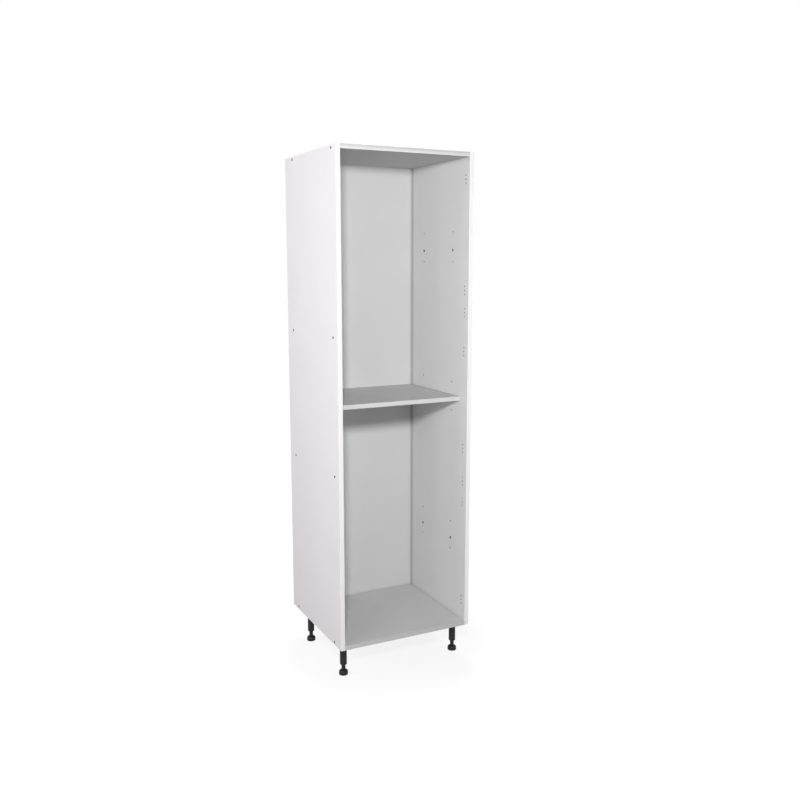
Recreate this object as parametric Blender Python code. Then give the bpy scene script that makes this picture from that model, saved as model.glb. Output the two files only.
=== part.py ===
"""Tall appliance housing unit: a flat-pack carcass on four adjustable legs.

Two side panels carry a top and a base between them, held by panel screws and dowels. The back
stands in grooves, a loose shelf rests on four pegs, and each leg is a ribbed socket, a tube and
a threaded foot. Lengths are in metres. X runs to the right, Y to the back and Z up, and the
origin is on the floor under the middle of the unit.
"""

import math

import bmesh
import bpy
from mathutils import Matrix, Vector

# Carcass
CARCASS_WIDTH = 0.600
CARCASS_DEPTH = 0.560
CARCASS_HEIGHT = 1.996
PANEL_THICKNESS = 0.018
LEG_HEIGHT = 0.137

# Edging glued to the front edges
EDGING_THICKNESS = 0.001
EDGING_ROUNDING = 0.0006

# Gap left between pieces that touch, and how far a cutter runs past the face it opens
SEAT_GAP = 0.0003
CUT_OVERRUN = 0.002

# Back panel and its grooves, with a service void behind
BACK_THICKNESS = 0.008
SERVICE_VOID_DEPTH = 0.051
GROOVE_DEPTH = 0.008
GROOVE_PLAY = 0.0004
BACK_TONGUE = 0.0075

# Loose shelf
SHELF_THICKNESS = 0.018
SHELF_TOP_LEVEL = 0.9986
SHELF_SETBACK = 0.0607
SHELF_SIDE_PLAY = 0.001
SHELF_BACK_PLAY = 0.001

# Shelf pegs, and the three groups of bores that let the shelf go higher or lower
SUPPORT_FRONT_INSET = 0.131
SUPPORT_FROM_BACK_PANEL = 0.117
SUPPORT_PILOT_ABOVE = 0.0755
SUPPORT_PILOT_BELOW = 0.048
SUPPORT_PILOT_DIAMETER = 0.005
SUPPORT_BORE_DEPTH = 0.012
SUPPORT_OTHER_HEIGHT_SHARES = (0.8071, 0.1794)
PEG_BORE_DIAMETER = 0.010
PEG_PLAY = 0.0003
PEG_PIN_LENGTH = 0.010
PEG_HEAD_DIAMETER = 0.014
PEG_HEAD_LENGTH = 0.008
PEG_AXIS_DROP = 0.0022

# Blind holes for the hinge plates, in groups of three up the inside of each side panel
HINGE_HOLE_DIAMETER = 0.005
HINGE_HOLE_DEPTH = 0.012
HINGE_HOLE_INSET = 0.032
HINGE_HOLE_PITCH = 0.0165
HINGE_HEIGHT_SHARES = (0.948, 0.724, 0.678, 0.597, 0.390, 0.3187, 0.273, 0.0527)

# Blind holes in the outside of each side panel, two at each of two heights
OUTER_HOLE_DIAMETER = 0.010
OUTER_HOLE_DEPTH = 0.012
OUTER_HOLE_FRONT_INSET = 0.048
OUTER_HOLE_BACK_INSET = 0.067
OUTER_HOLE_HEIGHT_SHARES = (0.6365, 0.3589)

# Panel screws, driven through the side panels into the ends of the top and the base
PANEL_SCREW_DIAMETER = 0.0068
PANEL_SCREW_LENGTH = 0.050
PANEL_SCREW_TIP = 0.004
PANEL_SCREW_HEAD_DIAMETER = 0.0098
PANEL_SCREW_HEAD_HEIGHT = 0.003
PANEL_SCREW_SINK = 0.0003
PANEL_SCREW_PLAY = 0.0003
PANEL_SCREW_POINT_SHARE = 0.5
PANEL_SCREW_THICKNESS_SHARE = 0.66
TOP_SCREW_FRONT_INSET = 0.048
TOP_SCREW_BACK_INSET = 0.087
BASE_SCREW_FRONT_INSET = 0.071
BASE_SCREW_BACK_INSET = 0.067
KEY_WIDTH = 0.004
KEY_DEPTH = 0.0025

# Dowels beside the panel screws
DOWEL_DIAMETER = 0.008
DOWEL_LENGTH = 0.030
DOWEL_CHAMFER = 0.001
DOWEL_PLAY = 0.0003
DOWEL_DEPTH_IN_SIDE = 0.012
DOWEL_FROM_SCREW = 0.096

# Leg places, measured from the carcass edges
LEG_SIDE_INSET = 0.039
LEG_FRONT_INSET = 0.0715
LEG_BACK_INSET = 0.116

# Leg socket
FLANGE_DIAMETER = 0.068
FLANGE_THICKNESS = 0.003
COLLAR_DIAMETER = 0.036
COLLAR_HEIGHT = 0.022
SOCKET_PLAY = 0.0003
SOCKET_RIB_COUNT = 8
SOCKET_RIB_THICKNESS = 0.002
SOCKET_RIB_REACH = 0.0115
SOCKET_RIB_HEIGHT_SHARE = 0.7

# Screws that hold the leg sockets, in a rectangle about each leg
LEG_SCREW_SPACING_X = 0.052
LEG_SCREW_SPACING_Y = 0.026
LEG_SCREW_DIAMETER = 0.0036
LEG_SCREW_LENGTH = 0.016
LEG_SCREW_TIP = 0.003
LEG_SCREW_HEAD_DIAMETER = 0.0075
LEG_SCREW_HEAD_HEIGHT = 0.0022
LEG_SCREW_FLAT_SHARE = 0.6
LEG_SCREW_PLAY = 0.0003

# Leg tube, with a threaded lower end that the foot's stem runs in
TUBE_DIAMETER = 0.029
TUBE_WALL = 0.0025
TUBE_END_THICKNESS = 0.009
TUBE_END_CHAMFER = 0.0038
THREAD_PLAY = 0.0003

# Adjustable foot
FOOT_DIAMETER = 0.038
FOOT_HEIGHT = 0.0205
FOOT_RIM_HEIGHT = 0.0115
FOOT_EDGE_ROUNDING = 0.0016
STEM_DIAMETER = 0.017
STEM_LENGTH = 0.072
STEM_CHAMFER = 0.0015
NECK_LENGTH = 0.0215

# Facets round a small hole or screw, round a panel screw or dowel, and round a leg
SMALL_STEPS = 8
BORE_STEPS = 12
LEG_STEPS = 24
ROUNDING_STEPS = 2
SHOULDER_STEPS = 3
WELD_DISTANCE = 0.000001
SHARP_ANGLE_DEGREES = 35.0

# Which way along X each side lies
SIDES = {"left": -1, "right": 1}

# Faces and levels that several pieces share
front_y = -CARCASS_DEPTH / 2
back_y = CARCASS_DEPTH / 2
board_front_y = front_y + EDGING_THICKNESS + SEAT_GAP
outer_x = CARCASS_WIDTH / 2
inner_x = outer_x - PANEL_THICKNESS
end_x = inner_x - SEAT_GAP
carcass_bottom_z = LEG_HEIGHT
carcass_top_z = LEG_HEIGHT + CARCASS_HEIGHT
base_top_z = carcass_bottom_z + PANEL_THICKNESS
top_under_z = carcass_top_z - PANEL_THICKNESS
shelf_top_z = carcass_bottom_z + SHELF_TOP_LEVEL
shelf_under_z = shelf_top_z - SHELF_THICKNESS
peg_axis_z = shelf_under_z - PEG_AXIS_DROP
back_rear_y = back_y - SERVICE_VOID_DEPTH
back_face_y = back_rear_y - BACK_THICKNESS

# Rows of fastenings and bores
screw_levels = {
    "base": carcass_bottom_z + PANEL_THICKNESS * PANEL_SCREW_THICKNESS_SHARE,
    "top": carcass_top_z - PANEL_THICKNESS * PANEL_SCREW_THICKNESS_SHARE,
}
dowel_levels = {
    "base": carcass_bottom_z + PANEL_THICKNESS / 2,
    "top": carcass_top_z - PANEL_THICKNESS / 2,
}
screw_rows = {
    "base": {"front": front_y + BASE_SCREW_FRONT_INSET, "back": back_y - BASE_SCREW_BACK_INSET},
    "top": {"front": front_y + TOP_SCREW_FRONT_INSET, "back": back_y - TOP_SCREW_BACK_INSET},
}
outer_hole_rows = (front_y + OUTER_HOLE_FRONT_INSET, back_y - OUTER_HOLE_BACK_INSET)
support_columns = {
    "front": front_y + SUPPORT_FRONT_INSET,
    "back": back_face_y - SUPPORT_FROM_BACK_PANEL,
}
leg_rows = {
    "front": front_y + LEG_FRONT_INSET,
    "back": back_y - LEG_BACK_INSET,
}
leg_x = outer_x - LEG_SIDE_INSET


def clear_scene():
    """Remove every object that the scene holds."""
    for item in list(bpy.data.objects):
        bpy.data.objects.remove(item, do_unlink=True)


def finish(name, colour, roughness, metallic):
    """Return a Principled material of one colour."""
    material = bpy.data.materials.new(name)
    material.use_nodes = True
    shader = material.node_tree.nodes["Principled BSDF"]
    shader.inputs["Base Color"].default_value = (*colour, 1.0)
    shader.inputs["Roughness"].default_value = roughness
    shader.inputs["Metallic"].default_value = metallic
    material.diffuse_color = (*colour, 1.0)
    return material


def block(low, high):
    """Return a box between its lowest and its highest corner."""
    low = Vector(low)
    high = Vector(high)
    shape = bmesh.new()
    placed = Matrix.Translation((low + high) / 2) @ Matrix.Diagonal((*(high - low), 1.0))
    bmesh.ops.create_cube(shape, size=1.0, matrix=placed)
    return shape


def turned(outline, steps, closed=False):
    """Turn an outline of (radius, height) points about Z.

    An open outline starts and ends on the axis. A closed one makes a ring with a bore.
    """
    shape = bmesh.new()
    corners = [shape.verts.new((radius, 0.0, height)) for radius, height in outline]
    edges = [shape.edges.new(pair) for pair in zip(corners, corners[1:])]
    if closed:
        edges.append(shape.edges.new((corners[-1], corners[0])))
    bmesh.ops.spin(
        shape,
        geom=corners + edges,
        cent=(0.0, 0.0, 0.0),
        axis=(0.0, 0.0, 1.0),
        angle=math.tau,
        steps=steps,
        use_merge=True,
    )
    bmesh.ops.remove_doubles(shape, verts=shape.verts, dist=WELD_DISTANCE)
    bmesh.ops.recalc_face_normals(shape, faces=shape.faces)
    return shape


def add_shape(target, shape, place):
    """Move a shape to its place and add it to another, as a body of its own."""
    shape.transform(place)
    carrier = bpy.data.meshes.new("carrier")
    shape.to_mesh(carrier)
    shape.free()
    target.from_mesh(carrier)
    bpy.data.meshes.remove(carrier)


def make_mesh(name, shape, smooth=False):
    """Store a shape as a mesh, with its round faces smooth where that is asked."""
    mesh = bpy.data.meshes.new(name)
    shape.to_mesh(mesh)
    shape.free()
    if smooth:
        mesh.shade_smooth()
        mesh.set_sharp_from_angle(angle=math.radians(SHARP_ANGLE_DEGREES))
    return mesh


def add_piece(name, mesh, material, location=(0.0, 0.0, 0.0), turn_y=0.0, cutter=None):
    """Add a named piece, with the shape that is cut out of it if it has one."""
    piece = bpy.data.objects.new(name, mesh)
    bpy.context.collection.objects.link(piece)
    piece.location = location
    piece.rotation_euler = (0.0, turn_y, 0.0)
    if not mesh.materials:
        mesh.materials.append(material)
    if cutter:
        cut = piece.modifiers.new("cut", "BOOLEAN")
        cut.operation = "DIFFERENCE"
        cut.solver = "EXACT"
        cut.object = cutter
    return piece


def add_cutter(name, shape):
    """Add a shape that is only cut out of others."""
    cutter = bpy.data.objects.new(name, make_mesh(name, shape))
    bpy.context.collection.objects.link(cutter)
    cutter.hide_render = True
    cutter.display_type = "WIRE"
    return cutter


def facing(side):
    """Return the turn about Y that points a turned shape's +Z outwards at this side."""
    return SIDES[side] * math.pi / 2


def bore(diameter, depth, steps=SMALL_STEPS):
    """Return a plain round cutter: its mouth is at height zero and it runs down."""
    radius = diameter / 2
    outline = [(0.0, -depth), (radius, -depth), (radius, CUT_OVERRUN), (0.0, CUT_OVERRUN)]
    return turned(outline, steps)


def drill(target, place, turn_y, shape):
    """Set a cutter at a place, turned about Y."""
    add_shape(target, shape, Matrix.Translation(place) @ Matrix.Rotation(turn_y, 4, "Y"))


def dowel_rows(level):
    """Return the dowels' places along a joint, inside the two screws."""
    rows = screw_rows[level]
    return {"front": rows["front"] + DOWEL_FROM_SCREW, "back": rows["back"] - DOWEL_FROM_SCREW}


def panel_screw_outline(play):
    """Return the panel screw's outline below its head, grown by a play for its bore."""
    head = PANEL_SCREW_HEAD_DIAMETER / 2 + play
    shank = PANEL_SCREW_DIAMETER / 2 + play
    point = shank * PANEL_SCREW_POINT_SHARE
    return [
        (head, -PANEL_SCREW_SINK),
        (shank, -PANEL_SCREW_SINK - PANEL_SCREW_HEAD_HEIGHT),
        (shank, PANEL_SCREW_TIP - PANEL_SCREW_LENGTH),
        (point, -PANEL_SCREW_LENGTH - play),
        (0.0, -PANEL_SCREW_LENGTH - play),
    ]


def panel_screw_mesh():
    """Turn the screw, then pull its key socket to six flats."""
    corner = KEY_WIDTH / 2 / math.cos(math.pi / 6)
    socket = [
        (0.0, -PANEL_SCREW_SINK - KEY_DEPTH),
        (corner, -PANEL_SCREW_SINK - KEY_DEPTH),
        (corner, -PANEL_SCREW_SINK),
    ]
    shape = turned(socket + panel_screw_outline(0.0), BORE_STEPS)
    for corner_point in shape.verts:
        radius = corner_point.co.xy.length
        step = round(math.atan2(corner_point.co.y, corner_point.co.x) / (math.tau / BORE_STEPS))
        if abs(radius - corner) < WELD_DISTANCE and step % 2:
            corner_point.co.xy *= math.cos(math.pi / 6)
    return make_mesh("panel_screw", shape, smooth=True)


def drill_panel_screw(target, side, row, level):
    """Cut a panel screw's countersunk bore, from outside the side panel to the screw's tip."""
    head = PANEL_SCREW_HEAD_DIAMETER / 2 + PANEL_SCREW_PLAY
    mouth = [(0.0, CUT_OVERRUN), (head, CUT_OVERRUN)]
    shape = turned(mouth + panel_screw_outline(PANEL_SCREW_PLAY), BORE_STEPS)
    place = (SIDES[side] * outer_x, screw_rows[level][row], screw_levels[level])
    drill(target, place, facing(side), shape)


def drill_dowel(target, side, row, level):
    """Cut a dowel's bore, half in the side panel and half in the end of the top or base."""
    depth_in_end = DOWEL_LENGTH - DOWEL_DEPTH_IN_SIDE
    radius = DOWEL_DIAMETER / 2 + DOWEL_PLAY
    low = -depth_in_end - DOWEL_PLAY
    high = DOWEL_DEPTH_IN_SIDE + DOWEL_PLAY
    shape = turned([(0.0, low), (radius, low), (radius, high), (0.0, high)], BORE_STEPS)
    place = (SIDES[side] * inner_x, dowel_rows(level)[row], dowel_levels[level])
    drill(target, place, facing(side), shape)


def leg_screw_places(side, row):
    """Return where the four screws of a leg socket stand."""
    half_x = LEG_SCREW_SPACING_X / 2
    half_y = LEG_SCREW_SPACING_Y / 2
    middle = (SIDES[side] * leg_x, leg_rows[row])
    return [(middle[0] + i * half_x, middle[1] + j * half_y) for i in (-1, 1) for j in (-1, 1)]


def drill_leg_screws(target, side, row, over_side_panel):
    """Cut the pilot holes that lie in the side panel's edge, or those that lie in the base."""
    depth = LEG_SCREW_LENGTH - FLANGE_THICKNESS + LEG_SCREW_PLAY
    for x, y in leg_screw_places(side, row):
        if (abs(x) > inner_x) == over_side_panel:
            shape = bore(LEG_SCREW_DIAMETER + 2 * LEG_SCREW_PLAY, depth)
            drill(target, (x, y, carcass_bottom_z), math.pi, shape)


def groove(target, low, high):
    """Cut a stretch of the groove that the back panel stands in."""
    start = back_face_y - GROOVE_PLAY
    end = back_rear_y + GROOVE_PLAY
    shape = block((low[0], start, low[1]), (high[0], end, high[1]))
    add_shape(target, shape, Matrix.Identity(4))


def side_cutter(side):
    """Return all that is cut out of a side panel: its groove, its bores and its blind holes."""
    sign = SIDES[side]
    cuts = bmesh.new()
    groove_x = sorted((sign * (inner_x - CUT_OVERRUN), sign * (inner_x + GROOVE_DEPTH)))
    low_z = carcass_bottom_z - CUT_OVERRUN
    high_z = carcass_top_z + CUT_OVERRUN
    groove(cuts, (groove_x[0], low_z), (groove_x[1], high_z))
    for level, rows in screw_rows.items():
        for row in rows:
            drill_panel_screw(cuts, side, row, level)
            drill_dowel(cuts, side, row, level)
    for row in leg_rows:
        drill_leg_screws(cuts, side, row, over_side_panel=True)
    for share in OUTER_HOLE_HEIGHT_SHARES:
        for y in outer_hole_rows:
            place = (sign * outer_x, y, carcass_bottom_z + share * CARCASS_HEIGHT)
            drill(cuts, place, facing(side), bore(OUTER_HOLE_DIAMETER, OUTER_HOLE_DEPTH, BORE_STEPS))
    inwards = -facing(side)
    for share in HINGE_HEIGHT_SHARES:
        for step in (-1, 0, 1):
            height = carcass_bottom_z + share * CARCASS_HEIGHT + step * HINGE_HOLE_PITCH
            place = (sign * inner_x, front_y + HINGE_HOLE_INSET, height)
            drill(cuts, place, inwards, bore(HINGE_HOLE_DIAMETER, HINGE_HOLE_DEPTH))
    peg_levels = [carcass_bottom_z + share * CARCASS_HEIGHT for share in SUPPORT_OTHER_HEIGHT_SHARES]
    for height in [peg_axis_z] + peg_levels:
        for y in support_columns.values():
            place = (sign * inner_x, y, height)
            drill(cuts, place, inwards, bore(PEG_BORE_DIAMETER, SUPPORT_BORE_DEPTH, BORE_STEPS))
            for offset in (SUPPORT_PILOT_ABOVE, -SUPPORT_PILOT_BELOW):
                place = (sign * inner_x, y, height + offset)
                drill(cuts, place, inwards, bore(SUPPORT_PILOT_DIAMETER, SUPPORT_BORE_DEPTH))
    return add_cutter("side_cutter_" + side, cuts)


def cross_cutter(level):
    """Return all that is cut out of the top or the base: its groove and the bores in its ends."""
    cuts = bmesh.new()
    if level == "base":
        heights = (base_top_z - GROOVE_DEPTH, base_top_z + CUT_OVERRUN)
    else:
        heights = (top_under_z - CUT_OVERRUN, top_under_z + GROOVE_DEPTH)
    groove(cuts, (-inner_x - CUT_OVERRUN, heights[0]), (inner_x + CUT_OVERRUN, heights[1]))
    for side in SIDES:
        for row in screw_rows[level]:
            drill_panel_screw(cuts, side, row, level)
            drill_dowel(cuts, side, row, level)
        if level == "base":
            for row in leg_rows:
                drill_leg_screws(cuts, side, row, over_side_panel=False)
    return add_cutter(level + "_cutter", cuts)


def edging_mesh(name, low, high):
    """Return a strip of edging whose two long front edges are rounded."""
    strip = block(low, high)
    long_axis = max(range(3), key=lambda axis: high[axis] - low[axis])
    middle_y = (low[1] + high[1]) / 2
    front_edges = []
    for edge in strip.edges:
        run = edge.verts[0].co - edge.verts[1].co
        in_front = all(corner.co.y < middle_y for corner in edge.verts)
        if in_front and abs(run[long_axis]) > WELD_DISTANCE:
            front_edges.append(edge)
    bmesh.ops.bevel(
        strip,
        geom=front_edges,
        offset=EDGING_ROUNDING,
        segments=ROUNDING_STEPS,
        profile=0.5,
        affect="EDGES",
        clamp_overlap=True,
    )
    return make_mesh(name, strip, smooth=True)


def build_sides(board, edging):
    """Two upright panels, each with its front edging."""
    for side, sign in SIDES.items():
        faces = sorted((sign * inner_x, sign * outer_x))
        shape = block((faces[0], board_front_y, carcass_bottom_z), (faces[1], back_y, carcass_top_z))
        mesh = make_mesh("side_panel_" + side, shape)
        add_piece("side_panel_" + side, mesh, board, cutter=side_cutter(side))
        low = (faces[0], front_y, carcass_bottom_z)
        high = (faces[1], front_y + EDGING_THICKNESS, carcass_top_z)
        add_piece("side_edging_" + side, edging_mesh("side_edging_" + side, low, high), edging)


def build_top_and_base(board, edgings):
    """The two cross panels between the sides, each with front edging of its own colour."""
    levels = {"base": (carcass_bottom_z, base_top_z), "top": (top_under_z, carcass_top_z)}
    for level, (low_z, high_z) in levels.items():
        shape = block((-end_x, board_front_y, low_z), (end_x, back_y, high_z))
        mesh = make_mesh(level + "_panel", shape)
        add_piece(level + "_panel", mesh, board, cutter=cross_cutter(level))
        low = (-end_x, front_y, low_z)
        high = (end_x, front_y + EDGING_THICKNESS, high_z)
        add_piece(level + "_edging", edging_mesh(level + "_edging", low, high), edgings[level])


def build_back(board):
    """The back panel, with its four edges in the grooves."""
    half_width = inner_x + BACK_TONGUE
    low_z = base_top_z - BACK_TONGUE
    high_z = top_under_z + BACK_TONGUE
    shape = block((-half_width, back_face_y, low_z), (half_width, back_rear_y, high_z))
    add_piece("back_panel", make_mesh("back_panel", shape), board)


def build_shelf(board, edging):
    """The loose shelf and its front edging."""
    half_width = inner_x - SHELF_SIDE_PLAY
    shelf_front_y = front_y + SHELF_SETBACK
    shelf_board_y = shelf_front_y + EDGING_THICKNESS + SEAT_GAP
    shelf_rear_y = back_face_y - SHELF_BACK_PLAY
    shape = block((-half_width, shelf_board_y, shelf_under_z), (half_width, shelf_rear_y, shelf_top_z))
    add_piece("shelf_panel", make_mesh("shelf_panel", shape), board)
    low = (-half_width, shelf_front_y, shelf_under_z)
    high = (half_width, shelf_front_y + EDGING_THICKNESS, shelf_top_z)
    add_piece("shelf_edging", edging_mesh("shelf_edging", low, high), edging)


def build_pegs(steel):
    """Four shelf pegs, each a pin with a round head that is cut flat under the shelf."""
    pin = PEG_BORE_DIAMETER / 2 - PEG_PLAY
    head = PEG_HEAD_DIAMETER / 2
    outline = [
        (0.0, -PEG_PIN_LENGTH),
        (pin, -PEG_PIN_LENGTH),
        (pin, SEAT_GAP),
        (head, SEAT_GAP),
        (head, PEG_HEAD_LENGTH),
        (0.0, PEG_HEAD_LENGTH),
    ]
    mesh = make_mesh("shelf_peg", turned(outline, BORE_STEPS), smooth=True)
    reach_x = inner_x - PEG_HEAD_LENGTH - CUT_OVERRUN
    flat_z = shelf_under_z - SEAT_GAP
    for side, sign in SIDES.items():
        cuts = bmesh.new()
        faces = sorted((sign * reach_x, sign * (inner_x - SEAT_GAP / 2)))
        for y in support_columns.values():
            low = (faces[0], y - head - CUT_OVERRUN, flat_z)
            high = (faces[1], y + head + CUT_OVERRUN, flat_z + PEG_HEAD_DIAMETER)
            add_shape(cuts, block(low, high), Matrix.Identity(4))
        cutter = add_cutter("peg_cutter_" + side, cuts)
        for row, y in support_columns.items():
            place = (sign * inner_x, y, peg_axis_z)
            add_piece(f"shelf_peg_{side}_{row}", mesh, steel, place, -facing(side), cutter)


def build_panel_screws(steel):
    """Eight screws, driven from outside with a hexagon key."""
    mesh = panel_screw_mesh()
    for level, height in screw_levels.items():
        for side, sign in SIDES.items():
            for row, y in screw_rows[level].items():
                place = (sign * outer_x, y, height)
                add_piece(f"panel_screw_{level}_{side}_{row}", mesh, steel, place, facing(side))


def build_dowels(beech):
    """Eight chamfered dowels that line the joints up."""
    radius = DOWEL_DIAMETER / 2
    low = DOWEL_DEPTH_IN_SIDE - DOWEL_LENGTH
    high = DOWEL_DEPTH_IN_SIDE
    outline = [
        (0.0, low),
        (radius - DOWEL_CHAMFER, low),
        (radius, low + DOWEL_CHAMFER),
        (radius, high - DOWEL_CHAMFER),
        (radius - DOWEL_CHAMFER, high),
        (0.0, high),
    ]
    mesh = make_mesh("dowel", turned(outline, BORE_STEPS), smooth=True)
    for level, height in dowel_levels.items():
        for side, sign in SIDES.items():
            for row, y in dowel_rows(level).items():
                place = (sign * inner_x, y, height)
                add_piece(f"dowel_{level}_{side}_{row}", mesh, beech, place, facing(side))


def socket_mesh():
    """A flange with a ribbed collar below it. Height zero is the flange's upper face."""
    flange = FLANGE_DIAMETER / 2
    collar = COLLAR_DIAMETER / 2
    seat = TUBE_DIAMETER / 2 + SOCKET_PLAY
    flange_under = -FLANGE_THICKNESS
    collar_end = flange_under - COLLAR_HEIGHT
    outline = [
        (0.0, 0.0),
        (flange, 0.0),
        (flange, flange_under),
        (collar, flange_under),
        (collar, collar_end),
        (seat, collar_end),
        (seat, flange_under),
        (0.0, flange_under),
    ]
    return make_mesh("leg_socket", turned(outline, LEG_STEPS), smooth=True)


def socket_rib(turn):
    """One gusset between the flange and the collar, as a wedge that is extruded and turned."""
    inner = (COLLAR_DIAMETER / 2 + TUBE_DIAMETER / 2 + SOCKET_PLAY) / 2
    outer = COLLAR_DIAMETER / 2 + SOCKET_RIB_REACH
    root = -FLANGE_THICKNESS / 2
    shoulder = -FLANGE_THICKNESS
    foot = -FLANGE_THICKNESS - COLLAR_HEIGHT * SOCKET_RIB_HEIGHT_SHARE
    outline = [(inner, root), (outer, root), (outer, shoulder), (COLLAR_DIAMETER / 2, foot), (inner, foot)]
    half = SOCKET_RIB_THICKNESS / 2
    shape = bmesh.new()
    corners = [shape.verts.new((radius, -half, height)) for radius, height in outline]
    wedge = shape.faces.new(corners)
    swept = bmesh.ops.extrude_face_region(shape, geom=[wedge])["geom"]
    moved = [item for item in swept if isinstance(item, bmesh.types.BMVert)]
    bmesh.ops.translate(shape, verts=moved, vec=(0.0, SOCKET_RIB_THICKNESS, 0.0))
    bmesh.ops.recalc_face_normals(shape, faces=shape.faces)
    shape.transform(Matrix.Rotation(turn, 4, "Z"))
    return shape


def build_leg_sockets(plastic):
    """Four sockets, with their ribs joined on and their screw holes cut."""
    mesh = socket_mesh()
    for side, sign in SIDES.items():
        for row, y in leg_rows.items():
            name = f"leg_socket_{side}_{row}"
            place = Vector((sign * leg_x, y, carcass_bottom_z - SEAT_GAP))
            ribs = bmesh.new()
            for count in range(SOCKET_RIB_COUNT):
                turn = count * math.tau / SOCKET_RIB_COUNT
                add_shape(ribs, socket_rib(turn), Matrix.Translation(place))
            holes = bmesh.new()
            for x, screw_y in leg_screw_places(side, row):
                hole = bore(LEG_SCREW_DIAMETER + 2 * LEG_SCREW_PLAY, FLANGE_THICKNESS + CUT_OVERRUN)
                drill(holes, (x, screw_y, place.z), 0.0, hole)
            socket = add_piece(name, mesh, plastic, place)
            join = socket.modifiers.new("ribs", "BOOLEAN")
            join.operation = "UNION"
            join.solver = "EXACT"
            join.object = add_cutter(name + "_ribs", ribs)
            cut = socket.modifiers.new("screw_holes", "BOOLEAN")
            cut.operation = "DIFFERENCE"
            cut.solver = "EXACT"
            cut.object = add_cutter(name + "_holes", holes)


def build_leg_screws(steel):
    """Pan-headed screws, driven up through the flanges."""
    head = LEG_SCREW_HEAD_DIAMETER / 2
    shank = LEG_SCREW_DIAMETER / 2
    tip = LEG_SCREW_LENGTH - LEG_SCREW_TIP
    outline = [
        (0.0, -LEG_SCREW_HEAD_HEIGHT),
        (head * LEG_SCREW_FLAT_SHARE, -LEG_SCREW_HEAD_HEIGHT),
        (head, -LEG_SCREW_HEAD_HEIGHT / 2),
        (head, 0.0),
        (shank, 0.0),
        (shank, tip),
        (0.0, LEG_SCREW_LENGTH),
    ]
    mesh = make_mesh("leg_screw", turned(outline, SMALL_STEPS), smooth=True)
    height = carcass_bottom_z - SEAT_GAP - FLANGE_THICKNESS - SEAT_GAP
    for side in SIDES:
        for row in leg_rows:
            for count, (x, y) in enumerate(leg_screw_places(side, row), start=1):
                add_piece(f"leg_screw_{side}_{row}_{count}", mesh, steel, (x, y, height))


def tube_mesh():
    """An open-topped tube whose thick lower end is bored for the stem and chamfered."""
    outer = TUBE_DIAMETER / 2
    inner = outer - TUBE_WALL
    stem = STEM_DIAMETER / 2 + THREAD_PLAY
    end_level = FOOT_HEIGHT + NECK_LENGTH
    top = carcass_bottom_z - SEAT_GAP - FLANGE_THICKNESS - SEAT_GAP
    outline = [
        (stem, end_level),
        (outer - TUBE_END_CHAMFER, end_level),
        (outer, end_level + TUBE_END_CHAMFER),
        (outer, top),
        (inner, top),
        (inner, end_level + TUBE_END_THICKNESS),
        (stem, end_level + TUBE_END_THICKNESS),
    ]
    return make_mesh("leg_tube", turned(outline, LEG_STEPS, closed=True), smooth=True)


def foot_mesh():
    """A foot with a rounded rim, sloping shoulders and a stem."""
    foot = FOOT_DIAMETER / 2
    stem = STEM_DIAMETER / 2
    stem_top = FOOT_HEIGHT + STEM_LENGTH
    outline = [(0.0, 0.0)]
    for count in range(ROUNDING_STEPS + 1):
        angle = count / ROUNDING_STEPS * math.pi / 2
        radius = foot - FOOT_EDGE_ROUNDING + FOOT_EDGE_ROUNDING * math.sin(angle)
        outline.append((radius, FOOT_EDGE_ROUNDING - FOOT_EDGE_ROUNDING * math.cos(angle)))
    for count in range(SHOULDER_STEPS + 1):
        angle = count / SHOULDER_STEPS * math.pi / 2
        radius = stem + (foot - stem) * math.cos(angle)
        outline.append((radius, FOOT_RIM_HEIGHT + (FOOT_HEIGHT - FOOT_RIM_HEIGHT) * math.sin(angle)))
    outline.append((stem, stem_top - STEM_CHAMFER))
    outline.append((stem - STEM_CHAMFER, stem_top))
    outline.append((0.0, stem_top))
    return make_mesh("leg_foot", turned(outline, LEG_STEPS), smooth=True)


def build_legs(plastic):
    """Tubes pushed up into the sockets, and feet whose stems run up inside the tubes."""
    tube = tube_mesh()
    foot = foot_mesh()
    for side, sign in SIDES.items():
        for row, y in leg_rows.items():
            place = (sign * leg_x, y, 0.0)
            add_piece(f"leg_tube_{side}_{row}", tube, plastic, place)
            add_piece(f"leg_foot_{side}_{row}", foot, plastic, place)


def build_unit():
    """Build the whole unit from its finishes."""
    board = finish("white_melamine_board", (0.84, 0.83, 0.84), 0.45, 0.0)
    white_edging = finish("white_edging", (0.86, 0.85, 0.86), 0.35, 0.0)
    grey_edging = finish("grey_edging", (0.55, 0.55, 0.55), 0.4, 0.0)
    plastic = finish("black_plastic", (0.035, 0.035, 0.037), 0.5, 0.0)
    zinc_steel = finish("zinc_steel", (0.45, 0.45, 0.46), 0.4, 1.0)
    dark_steel = finish("dark_steel", (0.06, 0.06, 0.062), 0.5, 1.0)
    beech = finish("beech", (0.62, 0.45, 0.28), 0.7, 0.0)
    build_sides(board, white_edging)
    build_top_and_base(board, {"base": grey_edging, "top": white_edging})
    build_back(board)
    build_shelf(board, white_edging)
    build_pegs(zinc_steel)
    build_panel_screws(dark_steel)
    build_dowels(beech)
    build_leg_sockets(plastic)
    build_leg_screws(zinc_steel)
    build_legs(plastic)


clear_scene()
build_unit()
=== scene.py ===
"""Tall appliance housing unit: the finished surface of every piece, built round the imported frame.

The sections follow the unit as it goes together: side panels, top and base, back, shelf, front edging,
screws, dowels, pegs and legs, and then the studio that shows it. Lengths are in metres. X runs to the
right, Y to the back and Z up, and the origin is on the floor under the middle of the unit.
"""

import math

import bpy
import numpy as np
from mathutils import Matrix, Vector
from mathutils.geometry import delaunay_2d_cdt


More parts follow.
